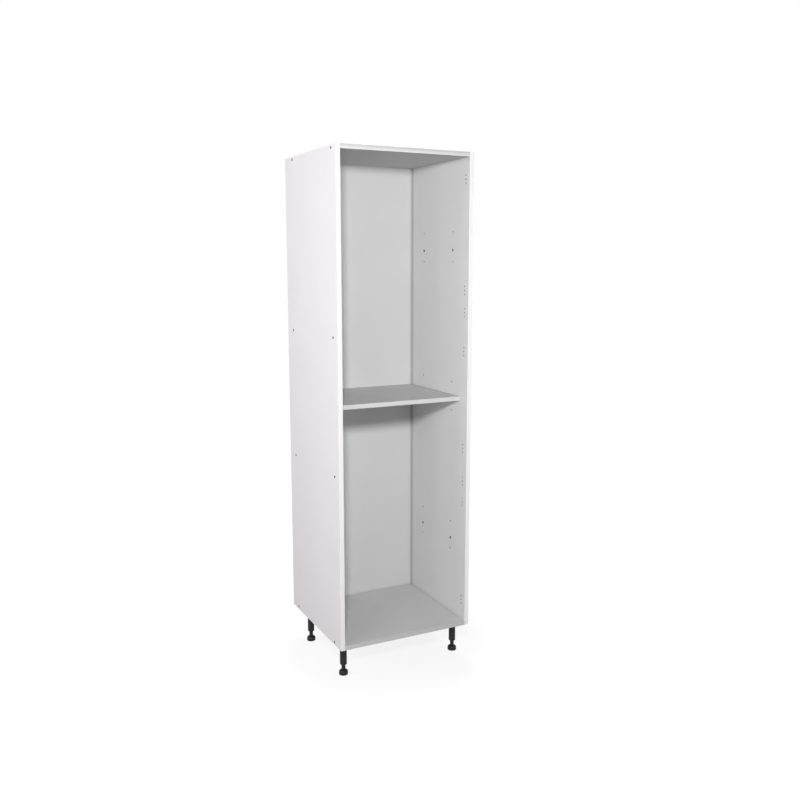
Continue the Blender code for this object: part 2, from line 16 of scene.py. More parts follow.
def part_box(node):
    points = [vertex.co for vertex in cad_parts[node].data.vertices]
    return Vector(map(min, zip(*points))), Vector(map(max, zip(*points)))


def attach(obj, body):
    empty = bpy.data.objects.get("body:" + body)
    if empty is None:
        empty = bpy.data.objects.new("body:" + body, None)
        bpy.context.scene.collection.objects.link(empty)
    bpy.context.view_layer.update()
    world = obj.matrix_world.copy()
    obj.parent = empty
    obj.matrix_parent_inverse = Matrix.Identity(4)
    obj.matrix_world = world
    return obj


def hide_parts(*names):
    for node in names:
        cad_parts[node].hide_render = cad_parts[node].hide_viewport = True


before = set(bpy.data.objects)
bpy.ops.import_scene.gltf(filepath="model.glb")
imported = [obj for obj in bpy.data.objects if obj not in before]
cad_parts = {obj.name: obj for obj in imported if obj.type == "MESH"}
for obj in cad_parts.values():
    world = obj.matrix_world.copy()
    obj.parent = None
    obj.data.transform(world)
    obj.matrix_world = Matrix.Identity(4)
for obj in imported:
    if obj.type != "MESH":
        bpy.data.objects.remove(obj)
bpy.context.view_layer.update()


# Side panels
# Two uprights of 18 mm chipboard with a white melamine face on both sides. They are sawn to length,
# grooved for the back, and bored on a line: for hinge plates and shelf pegs inside, for screws and
# unit connectors outside.

side_low, side_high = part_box("side_panel_right")
inner_x, outer_x = side_low.x, side_high.x
carcass_low_z, carcass_high_z = side_low.z, side_high.z
board_front_y, board_back_y = side_low.y, side_high.y
carcass_front_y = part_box("side_edging_right")[0].y
carcass_height = carcass_high_z - carcass_low_z
SIDE_SIGNS = {"left": -1, "right": 1}
ROWS = ("front", "back")
LEVELS = ("base", "top")
CORNERS = [(side, row) for side in SIDE_SIGNS for row in ROWS]
BOARD_ENDS = [(level, side, row) for level in LEVELS for side, row in CORNERS]
SCREW_COUNTS = (1, 2, 3, 4)
SMOOTH_BELOW = math.radians(35)
WELD = 1e-5
FILL_CLOSENESS = 1e-7
INSIDE_ONLY = 1
SAME_WAY = 0.5
NOISE_LOW = 0.3
NOISE_HIGH = 0.7
PATCH_EDGES = (0.35, 0.65)
BORE_SIDES = 32
BORE_RIM = 0.00045
GROOVE_DEPTH = 0.008
GROOVE_PLAY = 0.0004
HINGE_HOLE_RADIUS = 0.0025
HINGE_HOLE_INSET = 0.032
HINGE_HOLE_PITCH = 0.0165
HINGE_HEIGHT_SHARES = (0.948, 0.724, 0.678, 0.597, 0.390, 0.3187, 0.273, 0.0527)
BLIND_DEPTH = 0.012
POINT_DEPTH = 0.0009
POINT_SHARE = 0.3
SUPPORT_RADIUS = 0.005
SUPPORT_HEIGHT_SHARES = (0.8071, 0.1794)
PILOT_RADIUS = 0.0025
PILOT_ABOVE = 0.0755
PILOT_BELOW = 0.048
PEG_HEAD_RADIUS = 0.007
CONNECTOR_RADIUS = 0.005
CONNECTOR_FRONT_INSET = 0.048
CONNECTOR_BACK_INSET = 0.067
CONNECTOR_HEIGHT_SHARES = (0.6365, 0.3589)
SCREW_HEAD_RADIUS = 0.0052
SCREW_SHANK_RADIUS = 0.0037
SCREW_SINK = 0.0003
SCREW_HEAD_HEIGHT = 0.003
DOWEL_BORE_RADIUS = 0.0043
DOWEL_BORE_DEPTH = 0.0123
LEG_SCREW_BORE_RADIUS = 0.0021


def middle(node):
    """Half way between a node's lowest and highest corner."""
    low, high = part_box(node)
    return (low + high) / 2


def round_angles(steps):
    """Even steps of a full turn."""
    return np.arange(steps) * math.tau / steps


def plain_bore(radius, depth):
    """A straight bore's (radius, depth)."""
    return np.array(((radius, 0.0), (radius, depth)))


def blind_bore(radius):
    """A drilled bore's (radius, depth): a crisp rim, a straight wall, and the mark of the drill's point."""
    return np.array((
        (radius + BORE_RIM, 0.0),
        (radius, BORE_RIM),
        (radius, BLIND_DEPTH),
        (radius * POINT_SHARE, BLIND_DEPTH),
        (radius * POINT_SHARE / 2, BLIND_DEPTH + POINT_DEPTH),
    ))


def bore_rings(mouth, outward, profile):
    """Carry a bore's profile round its axis: mouth + r cos(a) e1 + r sin(a) e2 - depth * outward."""
    first = np.roll(np.abs(outward), 1)
    second = np.cross(outward, first)
    angle = round_angles(BORE_SIDES)
    circle = np.cos(angle)[:, None] * first + np.sin(angle)[:, None] * second
    radii, depths = profile.T
    return mouth + radii[:, None, None] * circle - depths[:, None, None] * outward


def bands(rings):
    """Join each closed ring of point numbers to the next one with four-sided faces."""
    nexts = np.roll(rings, -1, axis=1)
    return np.stack((rings[:-1], nexts[:-1], nexts[1:], rings[1:]), axis=-1).reshape(-1, 4)


def pierced_face(points, border, rims, across, up):
    """Fill a flat border less its rims with triangles, keeping every border and rim edge.

    Points are flattened onto the across and up directions. A triangle whose three corners lie on one
    rim fills a hole, and one whose corners run against the border's order fills a notch in it, so both
    are left out.
    """
    loops = [border] + rims
    numbers = np.concatenate(loops)
    owner = np.repeat(np.arange(len(loops)), [len(loop) for loop in loops])
    flat = np.stack((points[numbers] @ across, points[numbers] @ up), axis=-1)
    starts = np.cumsum([0] + [len(loop) for loop in loops[:-1]])
    edges = np.concatenate([
        start + np.stack((np.arange(len(loop)), np.roll(np.arange(len(loop)), -1)), axis=-1)
        for start, loop in zip(starts, loops)
    ])
    corners = [Vector(corner) for corner in flat]
    found = delaunay_2d_cdt(corners, edges.tolist(), [], INSIDE_ONLY, FILL_CLOSENESS, True)
    faces, sources = found[2:4]
    triangles = np.array([given[0] for given in sources])[np.array(faces)]
    owners = owner[triangles]
    on_one_loop = (owners == owners[:, :1]).all(axis=1)
    backwards = (np.roll(triangles, -1, axis=1) - triangles).prod(axis=1) > 0
    left_out = on_one_loop & ((owners[:, 0] > 0) | backwards)
    return numbers[triangles[~left_out]].tolist()


def bored_board(outline, ends, bores):
    """A prism pierced by bores, as points, faces and which of the faces are bore walls.

    The outline (u, v) goes round anticlockwise and is carried along w between two ends. Each side and
    end is a flat face less the rims that lie in it. A bore is (mouth, outward, profile, through): its
    walls are its profile carried round, and a through bore opens on the far face as well.
    """
    corners = len(outline)
    points = [np.column_stack((outline, np.full(corners, end))) for end in ends]
    count = 2 * corners
    walls = []
    rims = []
    for mouth, outward, profile, through in bores:
        outward = np.array(outward, float)
        rings = bore_rings(np.array(mouth, float), outward, profile)
        numbers = count + np.arange(rings.shape[0] * BORE_SIDES).reshape(-1, BORE_SIDES)
        points.append(rings.reshape(-1, 3))
        count += numbers.size
        walls.extend(bands(numbers).tolist())
        rims.append((outward, numbers[0]))
        if through:
            rims.append((-outward, numbers[-1][::-1]))
        else:
            walls.append(numbers[-1].tolist())
    points = np.concatenate(points)
    first_end = np.arange(corners)
    sides = [
        (np.array((a, b, b + corners, a + corners)), np.append(outline[b] - outline[a], 0.0))
        for a, b in zip(first_end, np.roll(first_end, -1))
    ]
    along_u, along_v, along_w = np.eye(3)
    borders = [(border, run / np.linalg.norm(run), along_w) for border, run in sides]
    borders.append((first_end[::-1], along_v, along_u))
    borders.append((first_end + corners, along_u, along_v))
    faces = []
    for border, across, up in borders:
        outward = np.cross(across, up)
        least = points[border].min(axis=0) - WELD
        most = points[border].max(axis=0) + WELD
        here = [
            rim for facing, rim in rims
            if facing @ outward > SAME_WAY and (points[rim] > least).all() and (points[rim] < most).all()
        ]
        faces.extend(pierced_face(points, border, here, across, up) if here else [border.tolist()])
    return points, faces + walls, len(walls)


def finish_mesh(name, points, faces, materials, wall_count=0):
    """Put points and faces into an object at the origin, smooth where neighbours turn little."""
    mesh = bpy.data.meshes.new(name)
    mesh.from_pydata(points.tolist(), [], faces)
    for material in materials:
        mesh.materials.append(material)
    if wall_count:
        slots = np.zeros(len(faces), np.int32)
        slots[len(faces) - wall_count:] = 1
        mesh.polygons.foreach_set("material_index", slots)
    mesh.shade_smooth()
    mesh.set_sharp_from_angle(angle=SMOOTH_BELOW)
    mesh.update()
    piece = bpy.data.objects.new(name, mesh)
    bpy.context.scene.collection.objects.link(piece)
    return piece


def stand_in(piece, node, body):
    """Let a piece stand for a CAD node: it rides on the node's body and has its finish."""
    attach(piece, body)
    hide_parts(node)


def add(tree, kind, inputs=None, **settings):
    """Add a shader node, set it up, and feed its inputs by name or number with values or sockets."""
    made = tree.nodes.new(kind)
    for key, value in settings.items():
        setattr(made, key, value)
    for key, value in (inputs or {}).items():
        if isinstance(value, bpy.types.NodeSocket):
            tree.links.new(value, made.inputs[key])
        else:
            made.inputs[key].default_value = value
    return made


def maths(tree, operation, *values):
    """Add a Math node on values or sockets and return its result."""
    return add(tree, "ShaderNodeMath", dict(enumerate(values)), operation=operation).outputs[0]


def ramp(tree, value, start, end, low=0.0, high=1.0, smooth=True):
    """Map a value from start and end to low and high, held at both ends."""
    kind = "SMOOTHSTEP" if smooth else "LINEAR"
    inputs = {"Value": value, "From Min": start, "From Max": end, "To Min": low, "To Max": high}
    return add(tree, "ShaderNodeMapRange", inputs, interpolation_type=kind).outputs["Result"]


def blend_colours(tree, share, first, second, kind="MIX"):
    """Mix two colours by a share."""
    mix = add(tree, "ShaderNodeMix", {0: share, 6: first, 7: second}, data_type="RGBA", blend_type=kind)
    return mix.outputs[2]


def grey(tone):
    """An opaque colour of one tone."""
    return (tone, tone, tone, 1.0)


def toned(tree, colour, level):
    """A colour times a level."""
    tint = add(tree, "ShaderNodeCombineColor", {"Red": level, "Green": level, "Blue": level})
    return blend_colours(tree, 1.0, colour, tint.outputs[0], "MULTIPLY")


def mixed(tree, share, first, second):
    """A value that goes from the first to the second by a share."""
    return add(tree, "ShaderNodeMix", {0: share, 2: first, 3: second}).outputs[0]


def noise(tree, place, scale, detail):
    """The level of a noise at a place."""
    inputs = {"Vector": place, "Scale": scale, "Detail": detail}
    return add(tree, "ShaderNodeTexNoise", inputs).outputs["Fac"]


def spread(tree, level, low, high):
    """Map the usual range of a noise to low and high."""
    return ramp(tree, level, NOISE_LOW, NOISE_HIGH, low, high, smooth=False)


def cells(tree, place, scale, kind="F1"):
    """The outputs of a pattern of cells at a place."""
    return add(tree, "ShaderNodeTexVoronoi", {"Vector": place, "Scale": scale}, feature=kind).outputs


def stretched(tree, place, scale):
    """A place with each of its coordinates scaled."""
    return add(tree, "ShaderNodeMapping", {"Vector": place, "Scale": scale}).outputs["Vector"]


def new_group(name, sockets_in, sockets_out):
    """Start a node group with named sockets, and return it with its input and output nodes."""
    tree = bpy.data.node_groups.new(name, "ShaderNodeTree")
    kinds = {"vector": "NodeSocketVector", "colour": "NodeSocketColor", "value": "NodeSocketFloat"}
    for label, kind in sockets_in.items():
        tree.interface.new_socket(label, in_out="INPUT", socket_type=kinds[kind])
    for label, kind in sockets_out.items():
        tree.interface.new_socket(label, in_out="OUTPUT", socket_type=kinds[kind])
    return tree, add(tree, "NodeGroupInput").outputs, add(tree, "NodeGroupOutput").inputs


def place_group(tree, group, inputs):
    """Place a node group in a material with its own values, and return its outputs."""
    return add(tree, "ShaderNodeGroup", inputs, node_tree=group).outputs


def new_material(name):
    """Start a material and return it with its tree, its Principled shader and object coordinates."""
    material = bpy.data.materials.new(name)
    material.use_nodes = True
    tree = material.node_tree
    place = add(tree, "ShaderNodeTexCoord").outputs["Object"]
    return material, tree, tree.nodes["Principled BSDF"], place


def surface(tree, shader, colour, roughness, height, depth):
    """Feed a shader's colour and roughness, and a bump whose full height is a depth in metres."""
    tree.links.new(colour, shader.inputs["Base Color"])
    tree.links.new(roughness, shader.inputs["Roughness"])
    bump = add(tree, "ShaderNodeBump", {"Height": height, "Distance": depth, "Strength": 1.0})
    tree.links.new(bump.outputs["Normal"], shader.inputs["Normal"])


FINISH_OUTPUTS = {"Colour": "colour", "Roughness": "value", "Height": "value"}
MELAMINE_CLOUD_SCALE = 6.0
MELAMINE_GRAIN_SCALE = 900.0
MELAMINE_PEBBLE_SCALE = 1700.0
MELAMINE_GRAIN_SHARE = 0.4
MELAMINE_ROUGHNESS = (0.48, 0.6)
MELAMINE_CLOUD = 0.012


def melamine_group():
    """Pressed melamine: pebbled at half a millimetre, with a faint cloudiness a hand across."""
    inputs = {"Place": "vector", "Colour": "colour", "Cloud": "value"}
    tree, given, result = new_group("pressed melamine", inputs, FINISH_OUTPUTS)
    shade = spread(tree, noise(tree, given["Place"], MELAMINE_CLOUD_SCALE, detail=3.0), -1.0, 1.0)
    level = maths(tree, "MULTIPLY_ADD", shade, given["Cloud"], 1.0)
    tree.links.new(toned(tree, given["Colour"], level), result["Colour"])
    grain = noise(tree, given["Place"], MELAMINE_GRAIN_SCALE, detail=2.0)
    tree.links.new(spread(tree, grain, *MELAMINE_ROUGHNESS), result["Roughness"])
    pebble = cells(tree, given["Place"], MELAMINE_PEBBLE_SCALE, "SMOOTH_F1")["Distance"]
    tree.links.new(maths(tree, "MULTIPLY_ADD", grain, MELAMINE_GRAIN_SHARE, pebble), result["Height"])
    return tree


CHIP_CORE_SCALE = 260.0
CHIP_SKIN_SCALE = 900.0
CHIP_FIBRE_SCALE = 2400.0
CHIP_DARK = (0.23, 0.14, 0.07, 1.0)
CHIP_MIDDLE = (0.42, 0.28, 0.15, 1.0)
CHIP_LIGHT = (0.62, 0.46, 0.28, 1.0)
CHIP_MIDDLE_PLACE = 0.35
CHIP_DUST_EDGES = (0.25, 0.75)
CHIP_DUST = (0.75, 1.1)
CHIP_ROUGHNESS = (0.95, 0.8)


def chipboard_group():
    """Pressed chips: cells of random tone, large in the core and fine towards the two faces."""
    inputs = {"Chips": "vector", "Near Face": "value"}
    tree, given, result = new_group("pressed chips", inputs, FINISH_OUTPUTS)
    core = cells(tree, given["Chips"], CHIP_CORE_SCALE)
    skin = cells(tree, given["Chips"], CHIP_SKIN_SCALE)
    fibre = noise(tree, given["Chips"], CHIP_FIBRE_SCALE, detail=2.0)
    chips = blend_colours(tree, given["Near Face"], core["Color"], skin["Color"])
    tone = add(tree, "ShaderNodeSeparateColor", {"Color": chips}).outputs["Red"]
    tones = add(tree, "ShaderNodeValToRGB", {"Fac": tone})
    tones.color_ramp.elements[0].color = CHIP_DARK
    tones.color_ramp.elements[1].color = CHIP_LIGHT
    tones.color_ramp.elements.new(CHIP_MIDDLE_PLACE).color = CHIP_MIDDLE
    dust = ramp(tree, fibre, *CHIP_DUST_EDGES, *CHIP_DUST, smooth=False)
    tree.links.new(toned(tree, tones.outputs["Color"], dust), result["Colour"])
    tree.links.new(ramp(tree, tone, 0.0, 1.0, *CHIP_ROUGHNESS), result["Roughness"])
    pits = mixed(tree, given["Near Face"], core["Distance"], skin["Distance"])
    tree.links.new(maths(tree, "MULTIPLY_ADD", pits, -1.0, fibre), result["Height"])
    return tree


def joint_shadow_group():
    """Painted shade along an inside joint, where shade falls: it fades with distance from the joint."""
    inputs = {"Distance": "value", "Width": "value", "Depth": "value"}
    tree, given, result = new_group("painted joint shade", inputs, {"Level": "value"})
    away = maths(tree, "DIVIDE", given["Distance"], given["Width"])
    fade = maths(tree, "EXPONENT", maths(tree, "MULTIPLY", maths(tree, "MULTIPLY", away, away), -1.0))
    dimmed = maths(tree, "MULTIPLY", fade, given["Depth"])
    tree.links.new(maths(tree, "SUBTRACT", 1.0, dimmed), result["Level"])
    return tree


MELAMINE = melamine_group()
CHIPBOARD = chipboard_group()
PAINTED_JOINT_SHADE = joint_shadow_group()
BOARD_TONE = 0.72
MELAMINE_SHEEN = 0.2
MELAMINE_RELIEF = 0.00003
SKIN = 0.0002
SKIN_FADE = 1.5
CHIP_FLATNESS = 3.0
CHIP_CORE_SHARES = (0.45, 0.75)
CHIP_DEPTH_SHARE = 6.0
JOINT_SHADE_WIDTH = 0.008
SIDE_JOINT_SHADE_WIDTH = 0.013
CORNER_SHADE_DEPTH = 0.32
LEVEL_SHADE_DEPTH = 0.13


def board_material(name, axis, inside, outside, joint_shades, shade_width=JOINT_SHADE_WIDTH, inside_shade_tone=BOARD_TONE):
    """White board whose faces lie across an axis, inside and outside, with raw chips between its skins.

    Joint shades are (axis, place, depth): painted shade on its inside face along other boards. The inside
    face may take a darker tone of its own: painted shade, for the light that falls less on it.
    """
    material, tree, shader, place = new_material(name)
    parts = add(tree, "ShaderNodeSeparateXYZ", {"Vector": place}).outputs
    centre = (inside + outside) / 2
    offset = maths(tree, "ABSOLUTE", maths(tree, "SUBTRACT", parts[axis], centre))
    half = abs(outside - inside) / 2
    on_inside = ramp(tree, parts[axis], inside, centre, 1.0, 0.0)
    # The inside face takes its own darker tone of the same white: painted shade.
    white = blend_colours(tree, on_inside, grey(BOARD_TONE), grey(inside_shade_tone))
    face = place_group(tree, MELAMINE, {"Place": place, "Colour": white, "Cloud": MELAMINE_CLOUD})
    stretch = [1.0, 1.0, 1.0]
    stretch[axis] = CHIP_FLATNESS
    near_face = ramp(tree, offset, *(half * share for share in CHIP_CORE_SHARES))
    chips = place_group(tree, CHIPBOARD, {"Chips": stretched(tree, place, stretch), "Near Face": near_face})
    skin = ramp(tree, offset, half - SKIN * SKIN_FADE, half - SKIN)
    colour = face["Colour"]
    # Painted shade: each joint darkens the inside face near another board.
    for other, where, depth in joint_shades:
        reach = parts[other] if other else maths(tree, "ABSOLUTE", parts[other])
        distance = maths(tree, "SUBTRACT", reach, where)
        shown = maths(tree, "MULTIPLY", on_inside, depth)
        line = {"Distance": distance, "Width": shade_width, "Depth": shown}
        colour = toned(tree, colour, place_group(tree, PAINTED_JOINT_SHADE, line)["Level"])
    colour = blend_colours(tree, skin, chips["Colour"], colour)
    rough = mixed(tree, skin, chips["Roughness"], face["Roughness"])
    height = mixed(tree, skin, maths(tree, "MULTIPLY", chips["Height"], CHIP_DEPTH_SHARE), face["Height"])
    shader.inputs["Specular IOR Level"].default_value = MELAMINE_SHEEN
    surface(tree, shader, colour, rough, height, MELAMINE_RELIEF)
    return material


# Bore walls are darkened nearly to black: partly dust, mostly painted shade of a deep bore.
BORE_DUST_AND_SHADE_COLOUR = (0.008, 0.007, 0.006, 1.0)
BORE_DUST_AND_SHADE_SHARE = 0.97
BORE_SHEEN = 0.1
BORE_NEAR_FACE = 0.6
BORE_RELIEF = 0.0001


def bore_material():
    """The walls of the bores: dusty chips, with painted shade that darkens them nearly to black."""
    material, tree, shader, place = new_material("drilled_chips")
    chips = place_group(tree, CHIPBOARD, {"Chips": place, "Near Face": BORE_NEAR_FACE})
    shader.inputs["Specular IOR Level"].default_value = BORE_SHEEN
    dusty_shade = blend_colours(tree, BORE_DUST_AND_SHADE_SHARE, chips["Colour"], BORE_DUST_AND_SHADE_COLOUR)
    surface(tree, shader, dusty_shade, chips["Roughness"], chips["Height"], BORE_RELIEF)
    return material


back_low, back_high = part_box("back_panel")
groove_start_y = back_low.y - GROOVE_PLAY
groove_end_y = back_high.y + GROOVE_PLAY
base_top_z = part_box("base_panel")[1].z
top_under_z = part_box("top_panel")[0].z
hinge_y = carcass_front_y + HINGE_HOLE_INSET
SCREW_BORE = np.array((
    (SCREW_HEAD_RADIUS + BORE_RIM, 0.0),
    (SCREW_HEAD_RADIUS, BORE_RIM),
    (SCREW_HEAD_RADIUS, SCREW_SINK),
    (SCREW_SHANK_RADIUS, SCREW_SINK + SCREW_HEAD_HEIGHT),
    (SCREW_SHANK_RADIUS, outer_x - inner_x),
))
DOWEL_BORE = plain_bore(DOWEL_BORE_RADIUS, DOWEL_BORE_DEPTH)
leg_screw_tip_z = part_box("leg_screw_right_front_3")[1].z
LEG_SCREW_BORE = plain_bore(LEG_SCREW_BORE_RADIUS, leg_screw_tip_z - carcass_low_z)
OUTWARDS = (1.0, 0.0, 0.0)
INWARDS = (-1.0, 0.0, 0.0)
DOWNWARDS = (0.0, 0.0, -1.0)
side_bores = []


def height_at(share):
    """The height at a share of the carcass's own height, from its bottom edge."""
    return carcass_low_z + share * carcass_height


def bore_inside(y, height, radius):
    """Add a blind bore in the inner face of the side."""
    side_bores.append(((inner_x, y, height), INWARDS, blind_bore(radius), False))


for level in LEVELS:
    for row in ROWS:
        screw = middle(f"panel_screw_{level}_right_{row}")
        dowel = middle(f"dowel_{level}_right_{row}")
        side_bores.append(((outer_x, screw.y, screw.z), OUTWARDS, SCREW_BORE, True))
        side_bores.append(((inner_x, dowel.y, dowel.z), INWARDS, DOWEL_BORE, False))
for share in CONNECTOR_HEIGHT_SHARES:
    for y in (carcass_front_y + CONNECTOR_FRONT_INSET, board_back_y - CONNECTOR_BACK_INSET):
        side_bores.append(((outer_x, y, height_at(share)), OUTWARDS, blind_bore(CONNECTOR_RADIUS), False))
for share in HINGE_HEIGHT_SHARES:
    for step in (-1, 0, 1):
        bore_inside(hinge_y, height_at(share) + step * HINGE_HOLE_PITCH, HINGE_HOLE_RADIUS)
for row in ROWS:
    peg_low, peg_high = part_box(f"shelf_peg_right_{row}")
    peg_y = (peg_low.y + peg_high.y) / 2
    for height in (peg_low.z + PEG_HEAD_RADIUS, *map(height_at, SUPPORT_HEIGHT_SHARES)):
        bore_inside(peg_y, height, SUPPORT_RADIUS)
        for offset in (PILOT_ABOVE, -PILOT_BELOW):
            bore_inside(peg_y, height + offset, PILOT_RADIUS)
leg_screws = [(side, row, count) for side, row in CORNERS for count in SCREW_COUNTS]
for side, row, count in leg_screws:
    screw = middle(f"leg_screw_{side}_{row}_{count}")
    if screw.x > inner_x:
        side_bores.append(((screw.x, screw.y, carcass_low_z), DOWNWARDS, LEG_SCREW_BORE, False))

side_outline = np.array((
    (inner_x, board_back_y),
    (inner_x, groove_end_y),
    (inner_x + GROOVE_DEPTH, groove_end_y),
    (inner_x + GROOVE_DEPTH, groove_start_y),
    (inner_x, groove_start_y),
    (inner_x, board_front_y),
    (outer_x, board_front_y),
    (outer_x, board_back_y),
))
side_points, side_faces, side_walls = bored_board(side_outline, (carcass_low_z, carcass_high_z), side_bores)
drilled = bore_material()
# Painted shade along the inside joints: deepest in the corner by the back, fainter along the top and base.
level_joint_shades = ((2, base_top_z, LEVEL_SHADE_DEPTH), (2, top_under_z, LEVEL_SHADE_DEPTH))
side_joint_shades = ((1, back_low.y, CORNER_SHADE_DEPTH), *level_joint_shades)
for side, sign in SIDE_SIGNS.items():
    inside, outside = sign * inner_x, sign * outer_x
    upright = board_material(f"{side}_side_board", 0, inside, outside, side_joint_shades, SIDE_JOINT_SHADE_WIDTH)
    faces = side_faces if sign > 0 else [face[::-1] for face in side_faces]
    points = side_points * (sign, 1, 1)
    piece = finish_mesh(f"side_{side}", points, faces, [upright, drilled], side_walls)
    stand_in(piece, f"side_panel_{side}", "carcass")


# Top and base
# The two cross boards, cut from the same white chipboard. Each is grooved for the back, and its ends are
# bored for two screws and two dowels. The base also takes eight of the screws that hold the legs.

END_SEAM = 0.00005
DOWEL_END_DEPTH = 0.0183
# The top's underside and the base's floor take darker tones of the same white: painted shade.
UNDER_TOP_SHADE_TONE = 0.53
BASE_FLOOR_SHADE_TONE = 0.62


def cross_outline(low_z, high_z, groove_above):
    """The (y, z) outline of a cross board, anticlockwise, with a groove in its top or its underside."""
    edge_z = high_z if groove_above else low_z
    floor_z = high_z - GROOVE_DEPTH if groove_above else low_z + GROOVE_DEPTH
    notch = [(groove_start_y, edge_z), (groove_start_y, floor_z)]
    notch += [(groove_end_y, floor_z), (groove_end_y, edge_z)]
    corners = [(board_back_y, low_z), (board_back_y, high_z)]
    around = corners + notch[::-1] if groove_above else notch + corners
    return np.array([(board_front_y, low_z), *around, (board_front_y, high_z)])


end_x = inner_x - END_SEAM
dowel_end_bore = plain_bore(DOWEL_BORE_RADIUS, DOWEL_END_DEPTH)
for level in LEVELS:
    level_low, level_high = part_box(f"{level}_panel")
    in_base = level == "base"
    bores = []
    for side, row in CORNERS:
        mouth_x = SIDE_SIGNS[side] * end_x
        outward = (0.0, 0.0, SIDE_SIGNS[side])
        screw = middle(f"panel_screw_{level}_{side}_{row}")
        tip_x = min(abs(corner.x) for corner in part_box(f"panel_screw_{level}_{side}_{row}"))
        screw_end_bore = np.array((
            (SCREW_SHANK_RADIUS, 0.0),
            (SCREW_SHANK_RADIUS, end_x - tip_x - SCREW_SHANK_RADIUS),
            (SCREW_SHANK_RADIUS / 2, end_x - tip_x + SCREW_SINK),
        ))
        bores.append(((screw.y, screw.z, mouth_x), outward, screw_end_bore, False))
        dowel = middle(f"dowel_{level}_{side}_{row}")
        bores.append(((dowel.y, dowel.z, mouth_x), outward, dowel_end_bore, False))
    for side, row, count in leg_screws if in_base else ():
        screw = middle(f"leg_screw_{side}_{row}_{count}")
        if abs(screw.x) < inner_x:
            bores.append(((screw.y, level_low.z, screw.x), (0.0, -1.0, 0.0), LEG_SCREW_BORE, False))
    outline = cross_outline(level_low.z, level_high.z, in_base)
    points, faces, walls = bored_board(outline, (-end_x, end_x), bores)
    inside, outside = (level_high.z, level_low.z) if in_base else (level_low.z, level_high.z)
    # Painted shade on the inside face along the sides and the back.
    joint_shades = ((0, inner_x, LEVEL_SHADE_DEPTH), (1, back_low.y, LEVEL_SHADE_DEPTH))
    # Painted shade: the inside face gets a darker tone of the same white.
    tone = BASE_FLOOR_SHADE_TONE if in_base else UNDER_TOP_SHADE_TONE
    cross = board_material(f"{level}_board_white", 2, inside, outside, joint_shades, inside_shade_tone=tone)
    piece = finish_mesh(f"{level}_board", np.roll(points, 1, axis=1), faces, [cross, drilled], walls)
    stand_in(piece, f"{level}_panel", "carcass")


# Back
# One thin white board that slides down the grooves of the sides and stands in the groove of the base.
# Its edges stay raw, since the grooves hide them.

# Painted shade on the back's inside face along the sides, the top and the base.
back_joint_shades = ((0, inner_x, CORNER_SHADE_DEPTH), *level_joint_shades)
back_white = board_material("back_board_white", 1, back_low.y, back_high.y, back_joint_shades)
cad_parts["back_panel"].material_slots[0].material = back_white


# Shelf
# A loose board of the same white chipboard, a little shallower than the unit, that lies on four pegs.
# Only its front edge is finished.

# The shelf's top takes a darker tone of the same white: painted shade.
SHELF_TOP_SHADE_TONE = 0.58
SHELF_END_SHADE_DEPTH = 0.25
shelf_low, shelf_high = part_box("shelf_panel")
# Painted shade on the shelf's top near its two ends, where they meet the sides.
shelf_end_shades = ((0, shelf_high.x, SHELF_END_SHADE_DEPTH),)
shelf_white = board_material(
    "shelf_board_white", 2, shelf_high.z, shelf_low.z, shelf_end_shades, SIDE_JOINT_SHADE_WIDTH, SHELF_TOP_SHADE_TONE
)
shelf_outline = np.array((
    (shelf_low.y, shelf_low.z),
    (shelf_high.y, shelf_low.z),
    (shelf_high.y, shelf_high.z),
    (shelf_low.y, shelf_high.z),
))
points, faces = bored_board(shelf_outline, (shelf_low.x, shelf_high.x), [])[:2]
piece = finish_mesh("shelf_board", np.roll(points, 1, axis=1), faces, [shelf_white])
stand_in(piece, "shelf_panel", "shelf")


# Front edging
# Millimetre-thick plastic strip, glued along the front edges and trimmed flush, white on the sides, top
# and shelf and light grey on the base. The trimming cutter leaves its two long corners round.

# The white strips are one plastic, but each has its own tone: painted light on the sides' strips, painted
# shade on the top's and shelf's.
LEFT_PAINTED_LIGHT_TONE = 0.86
RIGHT_PAINTED_LIGHT_TONE = 0.98
TOP_PAINTED_SHADE_TONE = 0.76
SHELF_PAINTED_SHADE_TONE = 0.68
BASE_TONE = 0.57
TOP_RIM_SHADE_START = 0.013
TOP_RIM_SHADE_END = 0.004
TOP_RIM_SHADE_SHARE = 0.8
EDGING_GRAIN_SCALE = 3000.0
EDGING_CLOUD_SCALE = 14.0
EDGING_CLOUD = (0.985, 1.01)
EDGING_ROUGHNESS = (0.3, 0.4)
EDGING_RELIEF = 0.000006
EDGING_RADIUS = 0.0006
EDGING_STEPS = 6
EDGING_HOLD = 0.00003
GLUE_LINE = 0.0001


def edging_material(name, tone, top_z=None):
    """Plastic strip of one tone: a grain a third of a millimetre wide, faint clouds, and a slight sheen.

    A strip that is given its top's height gets painted shade towards it.
    """
    material, tree, shader, place = new_material(name)
    grain = noise(tree, place, EDGING_GRAIN_SCALE, detail=1.0)
    level = spread(tree, noise(tree, place, EDGING_CLOUD_SCALE, detail=2.0), *EDGING_CLOUD)
    # Painted shade: the strip darkens towards its upper rim.
    if top_z:
        height = add(tree, "ShaderNodeSeparateXYZ", {"Vector": place}).outputs["Z"]
        rim = ramp(tree, height, top_z - TOP_RIM_SHADE_START, top_z - TOP_RIM_SHADE_END, 1.0, TOP_RIM_SHADE_SHARE)
        level = maths(tree, "MULTIPLY", level, rim)
    colour = toned(tree, grey(tone), level)
    surface(tree, shader, colour, spread(tree, grain, *EDGING_ROUGHNESS), grain, EDGING_RELIEF)
    return material


